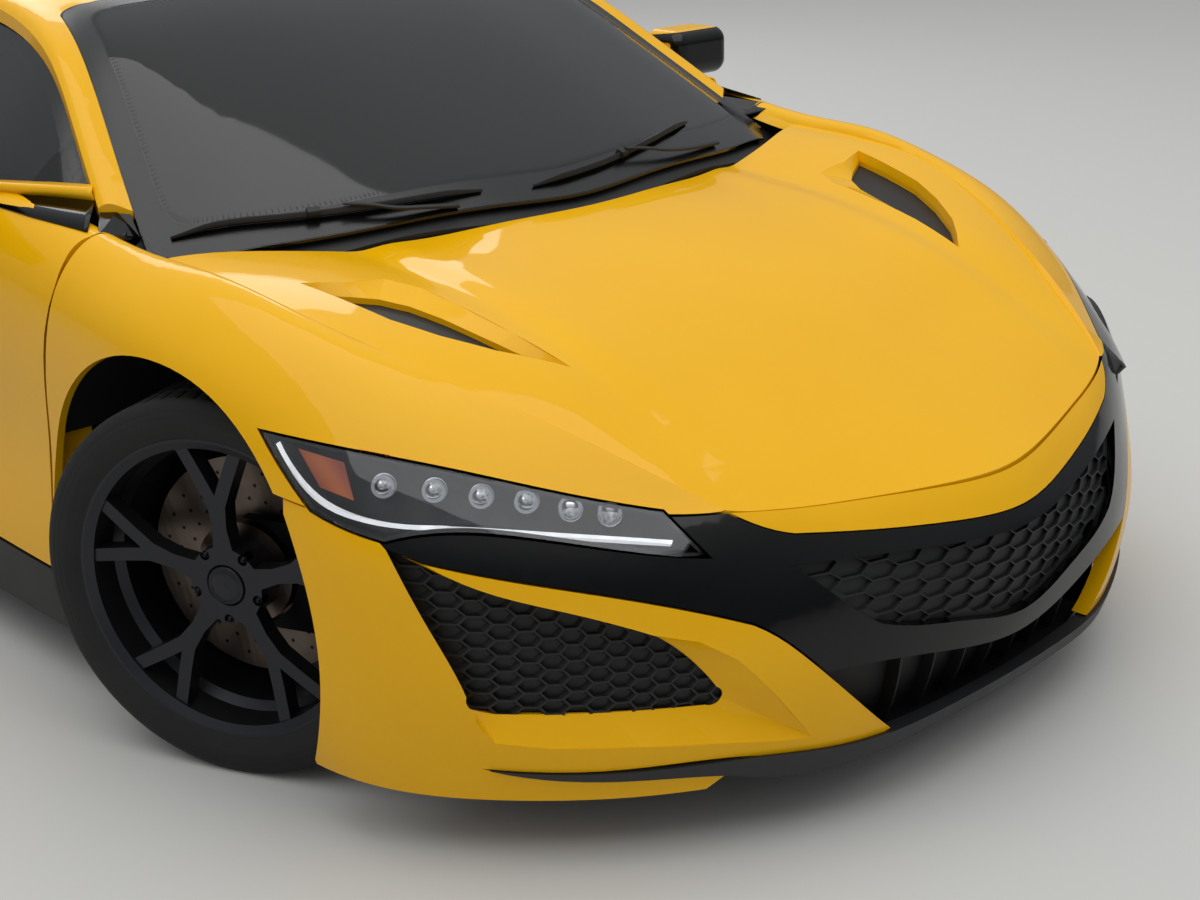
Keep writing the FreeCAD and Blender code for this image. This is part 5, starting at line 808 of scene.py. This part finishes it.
def paneFill(name, node, side, fromY, toY, material, body):
    tree = treeOf(node)
    low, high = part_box(node)
    rows = []
    for step in range(12):
        y = fromY + (toY - fromY) * step / 11
        hits = []
        z = low.z
        while z < high.z:
            hit, normal, index, distance = tree.ray_cast(Vector((side * 2, y, z)), -xAxis * side, 3)
            if hit is not None:
                hits.append(hit)
            z += 0.002
        if len(hits) > 3:
            rows.append([hits[int(share * (len(hits) - 1) / 5)] + xAxis * side * 0.0012 for share in range(6)])
    vertices = [point for row in rows for point in row]
    return newPiece(name, vertices, gridFaces(len(rows), 6), material, body)


for sideName, side in sides.items():
    ring = mirrored(cornerLook["cowl"], side)
    under = [point - zAxis * 0.012 for point in ring]
    count = len(ring)
    faces = [tuple(range(count)), tuple(range(count, 2 * count))[::-1]]
    faces += [(i, i + count, (i + 1) % count + count, (i + 1) % count) for i in range(count)]
    corner = newPiece("cowl_corner_" + sideName, ring + under, faces, lacquer, "body", False)
    softenEdges(corner, 2.5 * mm, 3)
    door = "door_" + sideName
    low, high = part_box("door_glass_" + sideName)
    paneFill("sail_panel_" + sideName, "door_glass_" + sideName, side, low.y + 0.004, low.y + 0.10, lacquer, door)
    strip("mirror_blade_" + sideName, (cornerLook["bladeTop"], cornerLook["bladeMiddle"], cornerLook["bladeFoot"]),
          side, enamel, door)
    strip("belt_trim_" + sideName, (cornerLook["bladeFoot"], cornerLook["blackFoot"]), side, lacquer, door, depth=3.0)
    # the mirror head's lower part is black, parted from the painted shell by a step
    lower = bmesh.new()
    lower.from_mesh(nodes["mirror_" + sideName].data)
    cuts = (((0, 0, cornerLook["mirrorSplit"]), (0, cornerLook["mirrorSlope"], 1)),
            ((side * cornerLook["mirrorInner"], 0, 0), (-side, 0, 0)))
    for place, away in cuts:
        bmesh.ops.bisect_plane(lower, geom=lower.verts[:] + lower.edges[:] + lower.faces[:],
                               plane_co=place, plane_no=away, clear_outer=True)
    headX, headY, headZ = cornerLook["mirrorMiddle"]
    headMiddle = Vector((side * headX, headY, headZ))
    for vertex in lower.verts:
        vertex.co += (vertex.co - headMiddle).normalized() * cornerLook["mirrorStep"] * mm
    lower.verts.index_update()
    newPiece("mirror_base_" + sideName, [vertex.co.copy() for vertex in lower.verts],
             [tuple(vertex.index for vertex in face.verts) for face in lower.faces], lacquer, door)
    lower.free()
print("body corners dressed")

# Cabin: padded seats with sewn channels

seatLook = {"width": 470, "place": 370, "front": -330, "cushionLong": 560, "cushionTall": 150, "backTall": 600,
            "backDeep": 120, "lean": 12, "floor": 140, "voxel": 9, "pressure": 4.0, "cap": 24}


def padMesh(width, long, tall, corner):
    mesh = bmesh.new()
    bmesh.ops.create_cube(mesh, size=1.0)
    bmesh.ops.scale(mesh, vec=(width, long, tall), verts=mesh.verts)
    bmesh.ops.bevel(mesh, geom=mesh.edges[:], offset=corner, segments=4, profile=0.6, affect="EDGES")
    bmesh.ops.subdivide_edges(mesh, edges=mesh.edges[:], cuts=2, use_grid_fill=True)
    return mesh


def inflate(piece, voxel, pressure, cap):
    # voxel remesh, blow up as cloth, hold how far a point may move, then smooth
    remesh = piece.modifiers.new("remesh", "REMESH")
    remesh.mode = "VOXEL"
    remesh.voxel_size = voxel * mm
    applied = bpy.data.meshes.new_from_object(piece.evaluated_get(bpy.context.evaluated_depsgraph_get()))
    piece.modifiers.clear()
    old = piece.data
    piece.data = applied
    bpy.data.meshes.remove(old)
    rest = [v.co.copy() for v in piece.data.vertices]
    cloth = piece.modifiers.new("cloth", "CLOTH")
    cloth.settings.use_pressure = True
    cloth.settings.uniform_pressure_force = pressure
    cloth.settings.effector_weights.gravity = 0
    scene = bpy.context.scene
    for number in range(1, 21):
        scene.frame_set(number)
    shape = piece.evaluated_get(bpy.context.evaluated_depsgraph_get()).to_mesh()
    moved = [v.co.copy() for v in shape.vertices]
    piece.modifiers.clear()
    scene.frame_set(1)
    for vertex, start, end in zip(piece.data.vertices, rest, moved):
        step = end - start
        if step.length > cap * mm:
            step *= cap * mm / step.length
        vertex.co = start + step
    smooth = piece.modifiers.new("cover", "SUBSURF")
    smooth.levels = smooth.render_levels = 1
    finer = bpy.data.meshes.new_from_object(piece.evaluated_get(bpy.context.evaluated_depsgraph_get()))
    piece.modifiers.clear()
    piece.data = finer
    return piece


def channel(point, lines, depth, width):
    # a sewn channel pulls the cover in along a line
    pull = 0.0
    for value in lines:
        gap = abs(point - value)
        if gap < width:
            pull = max(pull, depth * (1 - gap / width) ** 2)
    return pull


def shapePad(piece, width, long, lengthwise, crosswise, topSign):
    for vertex in piece.data.vertices:
        across = vertex.co.x / (width / 2)
        along = vertex.co.y / (long / 2)
        facing = 1 if vertex.co.z * topSign > 0 else 0
        bolster = 0.030 * max(0, (abs(across) - 0.52) / 0.48) ** 1.2 * facing
        seam = channel(vertex.co.x, lengthwise, 0.010, 0.012) + channel(vertex.co.y, crosswise, 0.006, 0.010) * (
            1 if abs(across) < 0.55 else 0)
        vertex.co.z += topSign * (bolster - seam * facing)
        vertex.co.x *= 1 - 0.05 * max(0, along) ** 2
    for polygon in piece.data.polygons:
        polygon.use_smooth = True


def seatPads():
    width = seatLook["width"] * mm
    specs = {
        "cushion": (width - 0.03, seatLook["cushionLong"] * mm - 0.03, seatLook["cushionTall"] * mm - 0.03),
        "back": (width - 0.03, seatLook["backTall"] * mm, seatLook["backDeep"] * mm - 0.025),
        "head": (0.27, 0.13, 0.085)}
    made = {}
    for part, (wide, long, tall) in specs.items():
        mesh = padMesh(wide, long, tall, min(tall, long) * 0.32)
        data = bpy.data.meshes.new("seat_" + part)
        mesh.to_mesh(data)
        mesh.free()
        piece = bpy.data.objects.new("seat_" + part, data)
        bpy.context.scene.collection.objects.link(piece)
        inflate(piece, seatLook["voxel"], seatLook["pressure"], seatLook["cap"] * (0.5 if part == "head" else 0.6))
        half = wide / 2 * 0.54
        lines = () if part == "head" else (-half, half)
        steps = () if part == "head" else tuple(long * s for s in (-0.30, -0.15, 0.0, 0.15, 0.30))
        shapePad(piece, wide, long, lines, steps, 1)
        made[part] = piece
    return made


def seatPlace(part, side):
    lean = math.radians(seatLook["lean"])
    x = side * seatLook["place"] * mm
    front = seatLook["front"] * mm
    if part == "cushion":
        return Matrix.Translation((x, front + 0.27, 0.222)) @ Matrix.Rotation(math.radians(3), 4, "X")
    foot = Vector((x, front + 0.475, 0.20))
    turn = Matrix.Rotation(math.pi / 2 - lean, 4, "X")
    up = Vector((0, math.sin(lean), math.cos(lean)))
    reach = 0.33 if part == "back" else 0.615
    return Matrix.Translation(foot + up * reach) @ turn


pads = seatPads()
seatPieces = []
for sideName, side in sides.items():
    for part, piece in pads.items():
        data = piece.data.copy()
        data.transform(seatPlace(part, side))
        data.materials.append(hide)
        pad = bpy.data.objects.new("seat_" + part + "_" + sideName, data)
        bpy.context.scene.collection.objects.link(pad)
        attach(pad, "body")
        seatPieces.append(pad)
for piece in pads.values():
    bpy.data.objects.remove(piece)
for pad in seatPieces:
    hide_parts("seats")
print("seats padded")

# Tail: dark panel behind the lamp bar, light guides, slats, exhaust lips, diffuser fins, plate recess

tailTree = joinedTree("rear_bumper", "tail_lamps", "quarter_panels", "rear_diffuser")


def tailSpot(x, z, out=0.0, tree=tailTree):
    hit, normal, index, distance = tree.ray_cast(Vector((x, 3.2, z)), -yAxis, 2.2)
    if hit is None:
        hit = tree.find_nearest(Vector((x, 2.16 - 0.35 * abs(x) ** 3, z)))[0]
    return Vector((x, hit.y + out * mm, z))


def tailLine(x):
    # the tail's depth at the lamp bar, the same curve for every height
    return 2.168 - 0.30 * abs(x / 0.9) ** 2.6


tailLook = {"panelHalf": 0.70, "panelLow": 0.770, "panelHigh": 0.900, "inside": 26, "guides": (0.815, 0.842),
            "slats": 5, "fins": (-0.52, -0.36, -0.24, 0.24, 0.36, 0.52)}
vertices = []
for column in range(41):
    x = -tailLook["panelHalf"] + column * tailLook["panelHalf"] / 20
    for row in range(9):
        z = tailLook["panelLow"] + (tailLook["panelHigh"] - tailLook["panelLow"]) * row / 8
        vertices.append(Vector((x, tailLine(x) - tailLook["inside"] * mm - 0.30 * (z - 0.83), z)))
panel = newPiece("tail_inner_panel", vertices, gridFaces(41, 9), lacquer, "body")
panelSkin = panel.modifiers.new("thickness", "SOLIDIFY")
panelSkin.thickness = 3 * mm

lampTree = treeOf("tail_lamps")
glow = colouredAcrylic("red_light_guide", "#C2121A", "#E8323A", 9)
guideRods = Gather()
for side in (1, -1):
    for height in tailLook["guides"]:
        line = []
        for step in range(40):
            x = side * (0.16 + step * 0.0180)
            hit, normal, index, distance = lampTree.ray_cast(Vector((x, 3, height)), -yAxis, 2)
            if hit is not None:
                line.append(hit + yAxis * 0.5 * mm)
        if len(line) > 3:
            guideRods.take(*roundRod(line, 2.6 * mm, 8))
if guideRods.vertices:
    newPiece("tail_light_guides", guideRods.vertices, guideRods.faces, glow, "body")

meshTree = treeOf("grille_meshes")
slats = Gather()
for side in (1, -1):
    for index in range(tailLook["slats"]):
        z = 0.500 + index * 0.030
        line = []
        for step in range(30):
            x = side * (0.40 + step * 0.0180)
            hit, normal, found, distance = meshTree.ray_cast(Vector((x, 3, z)), -yAxis, 2)
            if hit is not None and hit.y > 1.5:
                line.append(hit + yAxis * 6 * mm)
        if len(line) > 3:
            slats.take(*sweptStrip(line, [zAxis] * len(line), ((-6, -1.2), (-6, 1.2), (5, 2.2), (6.5, 0), (5, -2.2)),
                                   lambda t: 1))
newPiece("rear_vent_slats", slats.vertices, slats.faces, blackPlastic, "body")

lips = Gather()
for along in (-0.150, -0.055, 0.055, 0.150):
    profile = [(2.205, 35.5), (2.238, 35.2), (2.2425, 36.0), (2.2440, 37.4), (2.2425, 38.8),
               (2.236, 39.6), (2.205, 39.2)]
    ring = []
    for step in range(48):
        turn = step * math.tau / 48
        ring += [Vector((along + r * mm * math.cos(turn), y, 0.300 + r * mm * math.sin(turn))) for y, r in profile]
    lips.take(ring, gridFaces(48, len(profile), True, True))
newPiece("exhaust_lips", lips.vertices, lips.faces, exhaustSteel, "body")

fins = Gather()
diffuserTree = treeOf("rear_diffuser")
for x in tailLook["fins"]:
    outline = []
    for step in range(9):
        z = 0.172 + 0.118 * step / 8
        hit, normal, index, distance = diffuserTree.ray_cast(Vector((x, 3, z)), -yAxis, 2)
        if hit is not None:
            outline.append((hit.y, z))
    if len(outline) < 3:
        continue
    front = [Vector((x, y - 0.004, z)) for y, z in outline]
    back = [Vector((x, y + 0.006 + 0.022 * math.sin(math.pi * i / (len(outline) - 1)), z))
            for i, (y, z) in enumerate(outline)]
    ring = front + back[::-1]
    left = [point - xAxis * 0.003 for point in ring]
    right = [point + xAxis * 0.003 for point in ring]
    count = len(ring)
    fins.take(left + right, [tuple(range(count)), tuple(range(count, 2 * count))[::-1]] +
              [(i, i + count, (i + 1) % count + count, (i + 1) % count) for i in range(count)])
finPiece = newPiece("diffuser_fins", fins.vertices, fins.faces, greyPlastic, "body", False)
softenEdges(finPiece, 1.2 * mm)

plate = {"half": 0.262, "low": 0.470, "high": 0.590, "round": 0.018}


def roundedRing(halfWide, halfTall, corner, steps=6):
    ring = []
    for number, (signX, signZ) in enumerate(((1, 1), (-1, 1), (-1, -1), (1, -1))):
        for step in range(steps + 1):
            turn = (number + step / steps) * math.pi / 2
            ring.append((signX * (halfWide - corner) + corner * math.cos(turn),
                         signZ * (halfTall - corner) + corner * math.sin(turn)))
    return ring


middleZ = (plate["low"] + plate["high"]) / 2
halfTall = (plate["high"] - plate["low"]) / 2
rings = []
for grow, out in ((0.010, 0.4), (0.009, 3.0), (0.004, 4.5), (0.0, 4.5), (-0.003, 1.5)):
    rings.append([tailSpot(x, middleZ + z, out) for x, z in
                  roundedRing(plate["half"] + grow, halfTall + grow, max(plate["round"] + grow, 0.003), 12)])
newPiece("plate_frame", [point for ring in rings for point in ring], gridFaces(len(rings), len(rings[0]), False, True),
         blackPlastic, "body")
vertices = []
for column in range(41):
    x = -plate["half"] + column * plate["half"] / 20
    inset = max(0.0, abs(x) - plate["half"] + plate["round"])
    reach = halfTall - plate["round"] + math.sqrt(max(plate["round"] ** 2 - inset ** 2, 0.0))
    vertices += [tailSpot(x, middleZ + reach * (row / 4 - 1), 1.6) for row in range(9)]
newPiece("plate_recess", vertices, gridFaces(41, 9), blackPlastic, "body")

vertices = []
for side in (1, -1):
    for column in range(15):
        x = side * (0.48 + column * 0.02)
        foot = tailSpot(x, 0.735)
        head = tailSpot(x, 0.840, 0, lampTree)
        vertices += [foot.lerp(head, row / 6) - yAxis * 2 * mm for row in range(7)]
faces = gridFaces(15, 7)
faces += [tuple(105 + index for index in face) for face in gridFaces(15, 7)]
newPiece("tail_corner_fill", vertices, faces, enamel, "body")
print("tail dressed")


# Sides: flush door handles, filler flap, intake slats, side markers

sideLook = {"handle": (-0.02, 0.30, 0.752, 0.022), "flap": (1.115, 0.800, 0.078),
            "marker": (-1.735, 0.600, 0.030, 0.009, 0.008),
            "slats": (0.50, 0.56, 0.62, 0.68)}


def sideSpot(tree, side, y, z, out=0.0):
    hit, normal, index, distance = tree.ray_cast(Vector((side * 2, y, z)), -xAxis * side, 2)
    if hit is None:
        hit, normal, index, distance = tree.find_nearest(Vector((side * 0.93, y, z)))
    if normal.x * side < 0:
        normal = -normal
    return hit + normal * out * mm


def closedPanel(name, rings, material, body):
    # rings of points from the rim inwards, the last one filled
    vertices = [point for ring in rings for point in ring]
    faces = gridFaces(len(rings), len(rings[0]), False, True)
    faces.append(tuple(range(len(vertices) - len(rings[0]), len(vertices))))
    return newPiece(name, vertices, faces, material, body)


def surfaceBadge(name, tree, side, centreY, centreZ, halfLong, halfTall, corner, levels, material, body):
    rings = []
    for grow, out in levels:
        rings.append([sideSpot(tree, side, centreY + a, centreZ + b, out) for a, b in
                      roundedRing(halfLong + grow, halfTall + grow, max(corner + grow, 0.002), 8)])
    return closedPanel(name, rings, material, body)


for sideName, side in sides.items():
    doorTree = treeOf("door_" + sideName)
    start, end, height, tall = sideLook["handle"]
    surfaceBadge("door_handle_" + sideName, doorTree, side, (start + end) / 2, height, (end - start) / 2, tall, 0.020,
                 ((0.0035, 0.2), (0.0030, -0.6), (0.0010, -0.6), (0.0, 0.6), (-0.002, 2.2), (-0.010, 3.0),
                  (-0.021, 3.2)), enamel, "door_" + sideName)
    # painted shade: a black ring laid round the handle stands in for the dark gap
    surfaceBadge("handle_gap_shade_" + sideName, doorTree, side, (start + end) / 2, height, (end - start) / 2, tall, 0.020,
                 ((0.0050, 0.15), (0.0045, 0.5), (0.0, 0.5)), blackPlastic, "door_" + sideName)
    fenderTree = treeOf("front_fenders")
    surfaceBadge("side_marker_" + sideName, fenderTree, side, *sideLook["marker"],
                 ((0.003, 0.2), (0.002, 2.0), (-0.002, 2.6), (-0.006, 2.8)), amberAcrylic, "body")
quarterTree = treeOf("quarter_panels")
y, z, radius = sideLook["flap"]
# painted shade: the black ring laid round the flap stands in for the dark gap
flapParts = (("filler_flap_gap_shade", ((0.003, 0.15), (0.002, 0.6), (-0.004, 0.6)), blackPlastic),
             ("filler_flap", ((-0.002, 0.3), (-0.003, 1.4), (-0.010, 1.8), (-0.070, 2.0)), enamel))
for name, levels, material in flapParts:
    surfaceBadge(name, quarterTree, 1, y, z, radius, radius, radius, levels, material, "body")
intakeTree = treeOf("side_intakes")
bars = Gather()
for side in (1, -1):
    for height in sideLook["slats"]:
        line = []
        for step in range(16):
            y = 0.48 + step * 0.022
            hit, normal, found, distance = intakeTree.ray_cast(Vector((side * 2, y, height)), -xAxis * side, 2)
            if hit is not None and abs(hit.x) > 0.6:
                line.append(hit + xAxis * side * 14 * mm)
        if len(line) > 3:
            bars.take(*sweptStrip(line, [zAxis] * len(line), ((-9, -1.5), (-9, 1.5), (8, 2.0), (9.5, 0), (8, -2.0)),
                                  lambda t: 1))
newPiece("side_intake_slats", bars.vertices, bars.faces, blackPlastic, "body")
print("sides dressed")

# Dashboard, steering wheel and doors inside: hood over the dials, screens, air vents, stitched seams, door cards

dashTree = treeOf("dashboard")
low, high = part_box("dashboard")
dashLook = {"dials": (0.24, 0.50, 0.040), "vents": (-0.62, -0.30, 0.30, 0.62), "ventSize": (0.052, 0.026, 0.010, 0.008),
            "ventHeight": 0.765, "dialScreen": (0.37, 0.775, 0.115, 0.040, 0.012, 0.010),
            "centreScreen": (0.0, 0.735, 0.105, 0.062, 0.010, 0.012), "seamPlace": -0.575,
            "keys": (-0.055, 0.0, 0.055), "keyHeight": 0.64, "keySize": (0.018, 0.010, 0.004, 0.006),
            "selectorPlace": -0.25, "armRestPlace": 0.12}


def dashTop(x, y):
    hit, normal, index, distance = dashTree.ray_cast(Vector((x, y, 1.5)), -zAxis, 2)
    return hit.z if hit is not None else high.z


def dashFace(x, z):
    hit, normal, index, distance = dashTree.ray_cast(Vector((x, 0.5, z)), -yAxis, 2)
    return hit.y if hit is not None else -0.54


def crownedPanel(name, centreX, faceY, centreZ, halfWide, halfTall, corner, deep, material, body):
    rings = []
    for grow, out in ((0.0, -0.004), (0.0, deep * 0.6), (-0.003, deep * 0.9), (-0.007, deep), (-0.02, deep * 1.02)):
        rings.append([Vector((centreX + a, faceY + out, centreZ + b)) for a, b in
                      roundedRing(halfWide + grow, halfTall + grow, max(corner + grow, 0.002))])
    return closedPanel(name, rings, material, body)


topSeam = Gather()
seamLine = []
for step in range(60):
    x = -0.64 + step * 1.28 / 59
    seamLine.append(Vector((x, dashLook["seamPlace"], dashTop(x, dashLook["seamPlace"]) + 0.0012)))
for index in range(len(seamLine) - 1):
    first, second = seamLine[index], seamLine[index + 1]
    topSeam.take(*roundRod([first.lerp(second, 0.12), first.lerp(second, 0.45)], 0.9 * mm, 6))
    topSeam.take(*roundRod([first.lerp(second, 0.62), first.lerp(second, 0.95)], 0.9 * mm, 6))
newPiece("dash_stitching", topSeam.vertices, topSeam.faces, thread, "body")

start, end, tall = dashLook["dials"]
hoodRows = []
for row in range(9):
    share = row / 8
    y = -0.66 + 0.135 * share
    ring = []
    for step in range(25):
        turn = math.pi * step / 24
        x = (start + end) / 2 + (end - start) / 2 * (1 + 0.05 * share) * math.cos(turn)
        rise = (tall + 0.012) * math.sin(turn) * (0.35 + 0.65 * share)
        ring.append(Vector((x, y, dashTop(x, max(y, -0.60)) - 0.01 + rise)))
    hoodRows += ring
hoodPiece = newPiece("dial_hood", hoodRows, gridFaces(9, 25), softPlastic, "body")
hoodSkin = hoodPiece.modifiers.new("thickness", "SOLIDIFY")
hoodSkin.thickness = 6 * mm
dialGlass = startMaterial("display_glass", "#08090B", 0.08, 0.0, Coat_Weight=1.0, Coat_Roughness=0.02)
displayGlow = addNode(dialGlass[1], "ShaderNodeTexNoise", {"Vector": dialGlass[3], "Scale": perMetre(45)})
mixColours(dialGlass[1], displayGlow.outputs["Fac"], "#060709", "#101318", dialGlass[2].inputs["Base Color"])
for name, (x, z, *panelSize) in (("dial_display", dashLook["dialScreen"]), ("centre_screen", dashLook["centreScreen"])):
    crownedPanel(name, x, dashFace(x, z), z, *panelSize, dialGlass[0], "body")
for number, x in enumerate(dashLook["vents"]):
    z = dashLook["ventHeight"]
    face = dashFace(x, z)
    crownedPanel("air_vent_frame_%d" % number, x, face, z, *dashLook["ventSize"], softPlastic, "body")
    blades = Gather()
    for blade in range(4):
        z = 0.749 + blade * 0.011
        blades.take(*boxShape((x - 0.044, face + 0.006, z - 0.0012), (x + 0.044, face + 0.0145, z + 0.0012)))
    newPiece("air_vent_blades_%d" % number, blades.vertices, blades.faces, blackPlastic, "body", False)
for number, x in enumerate(dashLook["keys"]):
    z = dashLook["keyHeight"]
    crownedPanel("climate_key_%d" % number, x, dashFace(x, z), z, *dashLook["keySize"], blackPlastic, "body")
selector = [(0.0, 0.026), (0.006, 0.028), (0.012, 0.0275), (0.016, 0.024), (0.017, 0.010), (0.017, 0.0005)]
top = dashTop(0.0, dashLook["selectorPlace"])
vertices, faces = lathe(selector, 48)
turned = Matrix.Translation((0.0, dashLook["selectorPlace"], top)) @ Matrix.Rotation(-math.pi / 2, 4, "Y")
newPiece("drive_selector", placed(vertices, turned), faces, rimEdge, "body")

armRest = crownedPanel("console_pad", 0.0, 0.0, 0.0, 0.075, 0.150, 0.030, 0.040, hide, "body")
armRestPlace = Vector((0.0, dashLook["armRestPlace"], dashTop(0.0, dashLook["armRestPlace"])))
armRest.data.transform(Matrix.Translation(armRestPlace) @ Matrix.Rotation(math.pi / 2, 4, "X"))

wheelLook = {"centre": (0.370, -0.350, 0.720), "lean": 22, "seamRadius": 0.178 - 0.0152, "stitches": 120, "slant": 0.03}
grip = Gather()
wheelCentre = Vector(wheelLook["centre"])
lean = math.radians(wheelLook["lean"])
axis = Vector((0, math.cos(lean), math.sin(lean)))
wheelX = Vector((1, 0, 0))
wheelUp = axis.cross(wheelX).normalized()
for step in range(wheelLook["stitches"]):
    turn = step * math.tau / wheelLook["stitches"]
    away = wheelX * math.cos(turn) + wheelUp * math.sin(turn)
    foot = wheelCentre + away * wheelLook["seamRadius"]
    turn += wheelLook["slant"]
    ahead = wheelCentre + (wheelX * math.cos(turn) + wheelUp * math.sin(turn)) * wheelLook["seamRadius"]
    grip.take(*roundRod([foot + axis * 0.002, ahead - axis * 0.002], 0.7 * mm, 5))
newPiece("wheel_stitching", grip.vertices, grip.faces, thread, "steering_wheel")
profile = [(-0.010, 0.046), (0.002, 0.050), (0.012, 0.047), (0.020, 0.036), (0.023, 0.018), (0.024, 0.0005)]
vertices, faces = lathe(profile, 64)
toAxis = Matrix.Translation(wheelCentre) @ axis.to_track_quat("X", "Z").to_matrix().to_4x4()
newPiece("wheel_pad", placed(vertices, toAxis), faces, trimHide, "steering_wheel")

for sideName, side in sides.items():
    cardTree = treeOf("door_" + sideName)
    rows = []
    for row in range(13):
        z = 0.34 + row * 0.036
        for column in range(25):
            y = -0.70 + column * 0.042
            hit, normal, index, distance = cardTree.ray_cast(Vector((0, y, z)), xAxis * side, 2)
            if hit is None:
                hit = cardTree.find_nearest(Vector((side * 0.84, y, z)))[0]
            swell = 0.010 + 0.022 * math.exp(-((z - 0.60) / 0.030) ** 2) * (1 if -0.5 < y < 0.25 else 0.3)
            rows.append(Vector((hit.x - side * swell, y, z)))
    card = newPiece("door_card_" + sideName, rows, gridFaces(13, 25), hide, "door_" + sideName)
    cardSkin = card.modifiers.new("thickness", "SOLIDIFY")
    cardSkin.thickness = 3 * mm
    pull = smoothPath([Vector((side * 0.790, -0.40, 0.655)), Vector((side * 0.765, -0.34, 0.672)),
                       Vector((side * 0.765, -0.16, 0.672)), Vector((side * 0.790, -0.10, 0.655))], 12)
    newPiece("door_pull_" + sideName, *roundRod(pull, 7 * mm, 12), rimEdge, "door_" + sideName)
print("cabin dressed")

# Stage, lamps and camera

floorPaint = startMaterial("pale_floor_paper", "#C9C8C4", 0.9)[0]
floor = newPiece("floor", [(-40, -40, 0), (40, -40, 0), (40, 40, 0), (-40, 40, 0)], [(0, 1, 2, 3)], floorPaint, None)

room = {"low": "#6E7276", "high": "#EEF0F2", "strength": 0.95, "lamps": {
    "sky_panel": ((-1.0, -2.0, 7.0), (0, -0.8, 0.5), 9.0, 9.0, 300),
    "back_panel": ((3.0, 6.0, 4.5), (0, 0, 0.5), 5.0, 3.0, 110)}}
world = bpy.data.worlds.new("soft_room")
bpy.context.scene.world = world
world.use_nodes = True
sky = addNode(world.node_tree, "ShaderNodeSeparateXYZ", {
    "Vector": addNode(world.node_tree, "ShaderNodeTexCoord").outputs["Generated"]})
mixColours(world.node_tree, sky.outputs["Z"], room["low"], room["high"],
           world.node_tree.nodes["Background"].inputs["Color"])
world.node_tree.nodes["Background"].inputs["Strength"].default_value = room["strength"]
for name, (place, target, width, depth, power) in room["lamps"].items():
    lamp = bpy.data.lights.new(name, "AREA")
    lamp.shape = "RECTANGLE"
    lamp.size, lamp.size_y, lamp.energy = width, depth, power
    panel = bpy.data.objects.new(name, lamp)
    panel.location = place
    panel.rotation_euler = (Vector(target) - Vector(place)).to_track_quat("-Z", "Y").to_euler()
    bpy.context.scene.collection.objects.link(panel)

cameraData = bpy.data.cameras.new("photo_camera")
cameraData.sensor_width = 36
cameraData.lens = 55.08
camera = bpy.data.objects.new("photo_camera", cameraData)
bpy.context.scene.collection.objects.link(camera)
bpy.context.scene.camera = camera
camera.matrix_world = Matrix((
    (0.7151744, 0.25382637, -0.65122788, -2.33430781),
    (-0.69866165, 0.23303747, -0.67643583, -3.69520077),
    (-0.01993675, 0.93875754, 0.34400119, 1.53665776),
    (0.0, 0.0, 0.0, 1.0)))
bpy.context.scene.view_settings.view_transform = "Standard"
print("stage set")
